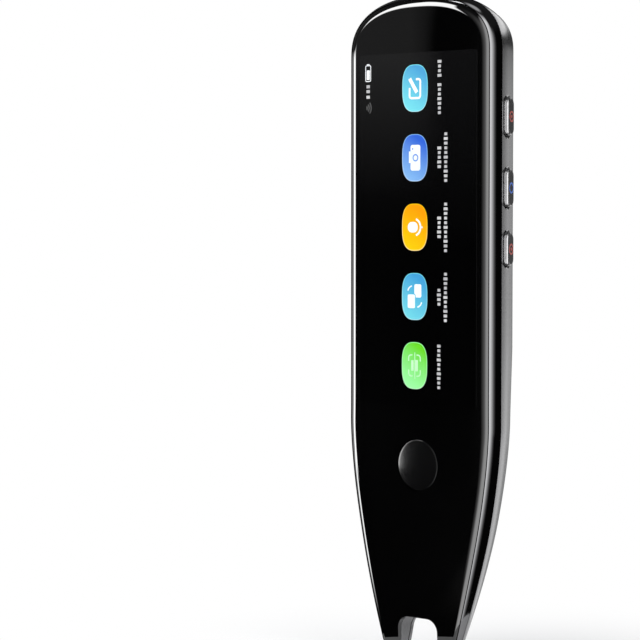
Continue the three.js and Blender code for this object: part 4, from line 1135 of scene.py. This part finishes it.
hood = prism("scan_hood_moulding", hood_points(), -overrun, body_thickness + overrun,
             board_at(0, body_length, body_thickness))
hood_zone = skinned("zone_tool", [loop_at(past_edge, hood_front), loop_at(past_edge, hood_back)])
carve(hood, hood_zone, "INTERSECT")
pane_place = Matrix.Translation((
    (window_low.x + window_high.x) / 2, (window_low.y + window_high.y) / 2, window_low.z))
pane_shape = rectangle(
    window_high.x - window_low.x + 2 * pane_gap, window_high.y - window_low.y + 2 * pane_gap)
carve(hood, prism("pane_tool", pane_shape, -2 * hood_wall, 2 * hood_wall, pane_place))
select_only(hood)
bpy.ops.object.modifier_add(type="BEVEL")
edge_ease = hood.modifiers[-1]
edge_ease.width = hood_ease
edge_ease.segments = ease_steps
edge_ease.limit_method = "ANGLE"
edge_ease.angle_limit = ease_angle
bpy.ops.object.modifier_apply(modifier=edge_ease.name)
smooth(hood, 35)
hood_grey = grained(
    "hood_grey", (0.2, 0.2, 0.205), 3000, detail=2, rough_range=(0.42, 0.6),
    tones=((0.17, 0.17, 0.175), (0.24, 0.24, 0.245)), relief=(0.15, 0.00002))
dress(hood, hood_grey, "scan_hood", "grey_plastic", "scan_hood")

# Inner pieces: what stays as the solids made it, where little or nothing of it shows. Each kind gets a
# finish of its own: sheet steel, circuit board, moulding, amber film, foil, foam and glass.


def finish_nodes(material, *names):
    for name in names:
        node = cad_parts[name]
        if not node.material_slots:
            node.data.materials.append(material)
        for node_slot in node.material_slots:
            node_slot.material = material


steel = grained(
    "sheet_steel", (0.58, 0.58, 0.59), 900, detail=4, stretch=(1, 1, 0.06), rough_range=(0.22, 0.4),
    tones=((0.52, 0.52, 0.53), (0.64, 0.64, 0.65)), metallic=1)
finish_nodes(
    steel, "home_switch", "record_switch", "voice_switch", "power_switch", "display_tray",
    "carrier_frame", "shield_can", "charging_socket", "microphone", "tip_switch", *screws)

circuit = grained(
    "circuit_board", (0.03, 0.18, 0.08), 700, detail=0, stretch=(1, 1, 0.35), roughness=0.35,
    tones=((0.015, 0.11, 0.045), (0.05, 0.25, 0.11)), steps=(0.47, 0.53), relief=(0.2, 0.00003))
finish_nodes(circuit, "home_board", "key_board", "main_board", "battery_board", "sensor_board")

moulding = grained(
    "satin_black", (0.022, 0.022, 0.024), 2200, rough_range=(0.33, 0.5), relief=(0.1, 0.00002))
finish_nodes(
    moulding, "camera_module", "speaker", "processor", "memory_chip", "socket_tongue", "scan_block")

ribbon = grained(
    "amber_ribbon", (0.5, 0.24, 0.06), 1400, detail=0, stretch=(1, 1, 0.03), roughness=0.35,
    tones=((0.36, 0.15, 0.03), (0.58, 0.3, 0.08)), steps=(0.42, 0.58))
finish_nodes(ribbon, "display_ribbon", "aerial", "scan_ribbon")

foil = grained(
    "pouch_foil", (0.6, 0.61, 0.62), 180, detail=5, rough_range=(0.25, 0.45),
    relief=(0.3, 0.0001), metallic=0.8)
finish_nodes(foil, "battery")

foam = grained(
    "gasket_foam", (0.02, 0.02, 0.02), 3500, detail=2, roughness=0.95, specular=0.2,
    tones=((0.008, 0.008, 0.008), (0.035, 0.035, 0.035)), relief=(0.6, 0.00008))
finish_nodes(foam, "speaker_gasket")

screen_back = grained("display_module", (0.015, 0.015, 0.017), 500, rough_range=(0.08, 0.18))
finish_nodes(screen_back, "display")

optics = grained(
    "scan_optics", (0.03, 0.04, 0.1), 300, roughness=0.05, coat=1,
    tones=((0.02, 0.03, 0.08), (0.05, 0.06, 0.14)))
finish_nodes(optics, "scan_lens")

lamp = grained(
    "lamp_white", (0.8, 0.79, 0.72), 600, roughness=0.3,
    tones=((0.76, 0.75, 0.68), (0.85, 0.84, 0.77)))
finish_nodes(lamp, "scan_lamp_left", "scan_lamp_right")

smoked = grained(
    "smoked_pane", (0.03, 0.008, 0.01), 250, roughness=0.06, coat=0.5,
    tones=((0.025, 0.007, 0.009), (0.04, 0.01, 0.012)))
finish_nodes(smoked, "scan_window")

# Studio: a pale floor that runs into a white surround, and round it a tent of white and black cards
# that only reflections see, as a photographer stands round a glossy product.
floor_z = hood_foot
floor_half, floor_cells = 3.0, 8
near_floor, far_floor = 0.015, 0.09
studio_middle = Vector((0, -body_thickness / 2, -0.03))


def light_path_mix(nodes, links, sockets):
    """1 for a ray of any of some kinds, and 0 for the rest."""
    path = nodes.new("ShaderNodeLightPath")
    total = path.outputs[sockets[0]]
    for socket in sockets[1:]:
        join = nodes.new("ShaderNodeMath")
        join.operation = "MAXIMUM"
        links.new(total, join.inputs[0])
        links.new(path.outputs[socket], join.inputs[1])
        total = join.outputs["Value"]
    return total


seen_rays = ["Is Camera Ray", "Is Glossy Ray", "Is Transmission Ray"]
world = bpy.data.worlds.new("studio_white")
bpy.context.scene.world = world
world.use_nodes = True
nodes, links = world.node_tree.nodes, world.node_tree.links
soft = nodes["Background"]
soft.inputs["Color"].default_value = (0.97, 0.98, 1, 1)
soft.inputs["Strength"].default_value = 0.55
white = nodes.new("ShaderNodeBackground")
white.inputs["Color"].default_value = (1, 1, 1, 1)
mix = nodes.new("ShaderNodeMixShader")
links.new(light_path_mix(nodes, links, seen_rays), mix.inputs["Fac"])
links.new(soft.outputs["Background"], mix.inputs[1])
links.new(white.outputs["Background"], mix.inputs[2])
links.new(mix.outputs["Shader"], nodes["World Output"].inputs["Surface"])

bpy.ops.object.select_all(action="DESELECT")
bpy.ops.mesh.primitive_grid_add(
    x_subdivisions=floor_cells, y_subdivisions=floor_cells, size=2 * floor_half, location=(0, 0, floor_z))
floor = bpy.context.object
floor.name = "floor"
floor_material = new_material("floor_white", (0.86, 0.86, 0.86), roughness=0.7, specular=0)
nodes, links = floor_material.node_tree.nodes, floor_material.node_tree.links
place = nodes.new("ShaderNodeTexCoord")
length = nodes.new("ShaderNodeVectorMath")
length.operation = "LENGTH"
fade = nodes.new("ShaderNodeMapRange")
fade.interpolation_type = "SMOOTHSTEP"
fade.inputs["From Min"].default_value = near_floor
fade.inputs["From Max"].default_value = far_floor
glow = nodes.new("ShaderNodeEmission")
shown = nodes.new("ShaderNodeMath")
shown.operation = "MULTIPLY"
mix = nodes.new("ShaderNodeMixShader")
links.new(place.outputs["Object"], length.inputs[0])
links.new(length.outputs["Value"], fade.inputs["Value"])
links.new(fade.outputs["Result"], shown.inputs[0])
links.new(light_path_mix(nodes, links, seen_rays), shown.inputs[1])
links.new(shown.outputs["Value"], mix.inputs["Fac"])
links.new(nodes["Principled BSDF"].outputs["BSDF"], mix.inputs[1])
links.new(glow.outputs["Emission"], mix.inputs[2])
links.new(mix.outputs["Shader"], nodes["Material Output"].inputs["Surface"])
floor.data.materials.append(floor_material)

# The cards of the tent. Angles are in degrees: an azimuth from the display's side towards the buttons,
# and a rise above the middle of the pen. The wall and the floor are tables of azimuth and brightness.
tent_wall = [
    (-180, 0.55), (-175, 0.16), (-169, 0.07), (-160, 0.04), (-150, 0.04), (-125, 0.12), (-90, 0.12),
    (-60, 0.06), (-46, 0.01), (-38, 0.003), (-33.5, 0.004), (-30, 0.07), (-21, 0.22), (-10, 0.48),
    (0, 0.75), (8, 1.1), (16, 2.2), (24, 3.1), (50, 3.1), (62, 2.8), (70, 2), (78, 1.2),
    (87, 0.4), (96, 0.08), (102, 0.006), (142, 0.006), (149, 0.3), (156, 0.5), (164, 0.8),
    (174, 1), (180, 0.55),
]
tent_floor = [
    (-180, 0.6), (-165, 0.1), (-140, 0.1), (-100, 0.4), (-82, 1.2), (-75, 8), (-60, 10), (-56, 0.01),
    (-38, 0.003), (-31, 0.01), (-21, 0.15), (0, 0.6), (12, 2), (24, 3.1), (54, 3.1),
    (66, 2.4), (78, 1), (88, 0.2), (96, 0.006), (142, 0.006), (152, 0.8), (162, 1.25), (174, 1.2),
    (180, 0.6),
]

# The wall behind the pen falls off by a table of rise and share, and in front a faint glow rises.
behind_start = 145
back_fall = [
    (-10, 1.3), (-6, 1.15), (-2, 0.88), (8, 0.84), (10, 0.78), (12, 0.56), (13, 0.3), (14.5, 0.06),
    (22, 0.03),
]
front_sector = (-60, -37, 1.6)
front_rise = [(4, 0), (7, 0.035), (9.5, 0.08), (12, 0.13)]

# The dome over the wall is dark, and begins higher over the bright side.
bright_sector, bright_side_rise = (4, 82, 10), 24
dome_start, dome_full, dome_glow = 34, 50, 0.04

# A strip stands on the left, a box hangs over it between two tables of azimuth and rise, one card is
# the roof and one hangs high behind the pen. Limits are given with their soft edge.
left_strip = [
    (-125, 0.3), (-106, 0.8), (-88, 0.8), (-76, 0.9), (-71, 2.5), (-66, 11), (-47, 11), (-45.5, 0),
]
strip_rise = (-90, 13.6, 1.2)
box_low = [(-60, 60), (-54, 24), (-50, 18), (-40, 18), (-33, 18), (-30, 30)]
box_high = [(-60, 20), (-54, 28), (-51, 40), (-49, 47), (-30, 48)]
box_glow, box_sector, box_edge = 11, (-80, -31, 2), 3
roof_glow, roof_rise = 1.3, (78, 120, 6)
back_card_glow, back_card_sector, back_card_rise = 1.6, (154, 200, 8), (23, 38, 3)

# The floor card begins beside the pen, in rows that lie closer near it. In front it starts out dark.
tent_radius, floor_card_start, floor_card_lift, row_crowding = 0.4, 0.03, 0.0005, 2
tent_columns, floor_rows, wall_rows = 360, 12, 52
dark_sector_start, dark_sector_end = -100, 0
front_floor_dark, front_floor_lit, least_glow = 0.05, 0.12, 0.005


def along_table(table, place):
    """A value read off a table of places and values, straight between its rows."""
    if place <= table[0][0]:
        return table[0][1]
    for (a, first), (b, second) in zip(table, table[1:]):
        if place <= b:
            return first + (second - first) * (place - a) / (b - a)
    return table[-1][1]


def climb(value, low, high):
    """How far a value has come from one limit to another, from 0 to 1."""
    return max(0, min(1, (value - low) / (high - low)))


def inside(value, low, high, soft_edge):
    """1 between two limits and 0 outside, with a soft edge."""
    return max(0, min(1, (value - low) / soft_edge)) * max(0, min(1, (high - value) / soft_edge))


def wall_glow(azimuth, rise):
    glow = along_table(tent_wall, azimuth)
    if abs(azimuth) > behind_start:
        glow *= along_table(back_fall, rise)
    glow += along_table(front_rise, rise) * inside(azimuth, *front_sector)
    lowered = rise - bright_side_rise * inside(azimuth, *bright_sector)
    glow += (dome_glow - glow) * climb(lowered, dome_start, dome_full)
    glow += along_table(left_strip, azimuth) * inside(rise, *strip_rise)
    glow += box_glow * inside(azimuth, *box_sector) * inside(
        rise, along_table(box_low, azimuth), along_table(box_high, azimuth), box_edge)
    glow += roof_glow * inside(rise, *roof_rise)
    return glow + back_card_glow * inside(abs(azimuth), *back_card_sector) * inside(rise, *back_card_rise)


bpy.ops.object.select_all(action="DESELECT")
bpy.ops.mesh.primitive_grid_add(x_subdivisions=tent_columns, y_subdivisions=floor_rows + wall_rows, size=2)
tent = bpy.context.object
tent.name = "reflection_tent"
tent_floor_z = floor_z + floor_card_lift
lowest_rise = math.asin((tent_floor_z - studio_middle.z) / tent_radius)
wall_start = tent_radius * math.cos(lowest_rise)
brightness = tent.data.attributes.new("brightness", "FLOAT", "POINT")
for vertex in tent.data.vertices:
    azimuth = 180 * vertex.co.x
    row = (vertex.co.y + 1) / 2 * (floor_rows + wall_rows)
    if row < floor_rows - 0.5:
        reach = floor_card_start + (wall_start - floor_card_start) * (row / floor_rows) ** row_crowding
        height = tent_floor_z
        glow = along_table(tent_floor, azimuth)
        if dark_sector_start <= azimuth <= dark_sector_end:
            glow *= climb(reach, front_floor_dark, front_floor_lit)
        brightness.data[vertex.index].value = max(least_glow, glow)
    else:
        rise = lowest_rise + (math.pi / 2 - lowest_rise) * (row - floor_rows) / wall_rows
        reach = tent_radius * math.cos(rise)
        height = studio_middle.z + tent_radius * math.sin(rise)
        brightness.data[vertex.index].value = wall_glow(azimuth, math.degrees(rise))
    turn = math.radians(azimuth)
    vertex.co = (reach * math.sin(turn), studio_middle.y - reach * math.cos(turn), height)
tent_material = bpy.data.materials.new("tent_cards")
tent_material.use_nodes = True
nodes, links = tent_material.node_tree.nodes, tent_material.node_tree.links
nodes.remove(nodes["Principled BSDF"])
cards = nodes.new("ShaderNodeEmission")
card_brightness = nodes.new("ShaderNodeAttribute")
card_brightness.attribute_name = "brightness"
links.new(card_brightness.outputs["Fac"], cards.inputs["Strength"])
links.new(cards.outputs["Emission"], nodes["Material Output"].inputs["Surface"])
tent.data.materials.append(tent_material)
tent.visible_camera = False
tent.visible_diffuse = False
tent.visible_shadow = False
tent.visible_transmission = False


def add_lamp(name, azimuth, rise, distance, size, watts):
    """A soft square lamp that faces the middle of the pen."""
    a, e = math.radians(azimuth), math.radians(rise)
    out = Vector((math.sin(a) * math.cos(e), -math.cos(a) * math.cos(e), math.sin(e)))
    rotation = out.to_track_quat("Z", "Y").to_euler()
    bpy.ops.object.light_add(type="AREA", location=studio_middle + out * distance, rotation=rotation)
    light = bpy.context.object
    light.name = name
    light.data.size = size
    light.data.energy = watts
    light.visible_glossy = False


add_lamp("key_lamp", azimuth=-25, rise=55, distance=0.75, size=0.5, watts=2.6)
add_lamp("side_lamp", azimuth=75, rise=25, distance=0.8, size=0.4, watts=1.4)
add_lamp("back_lamp", azimuth=165, rise=50, distance=0.8, size=0.5, watts=2.4)
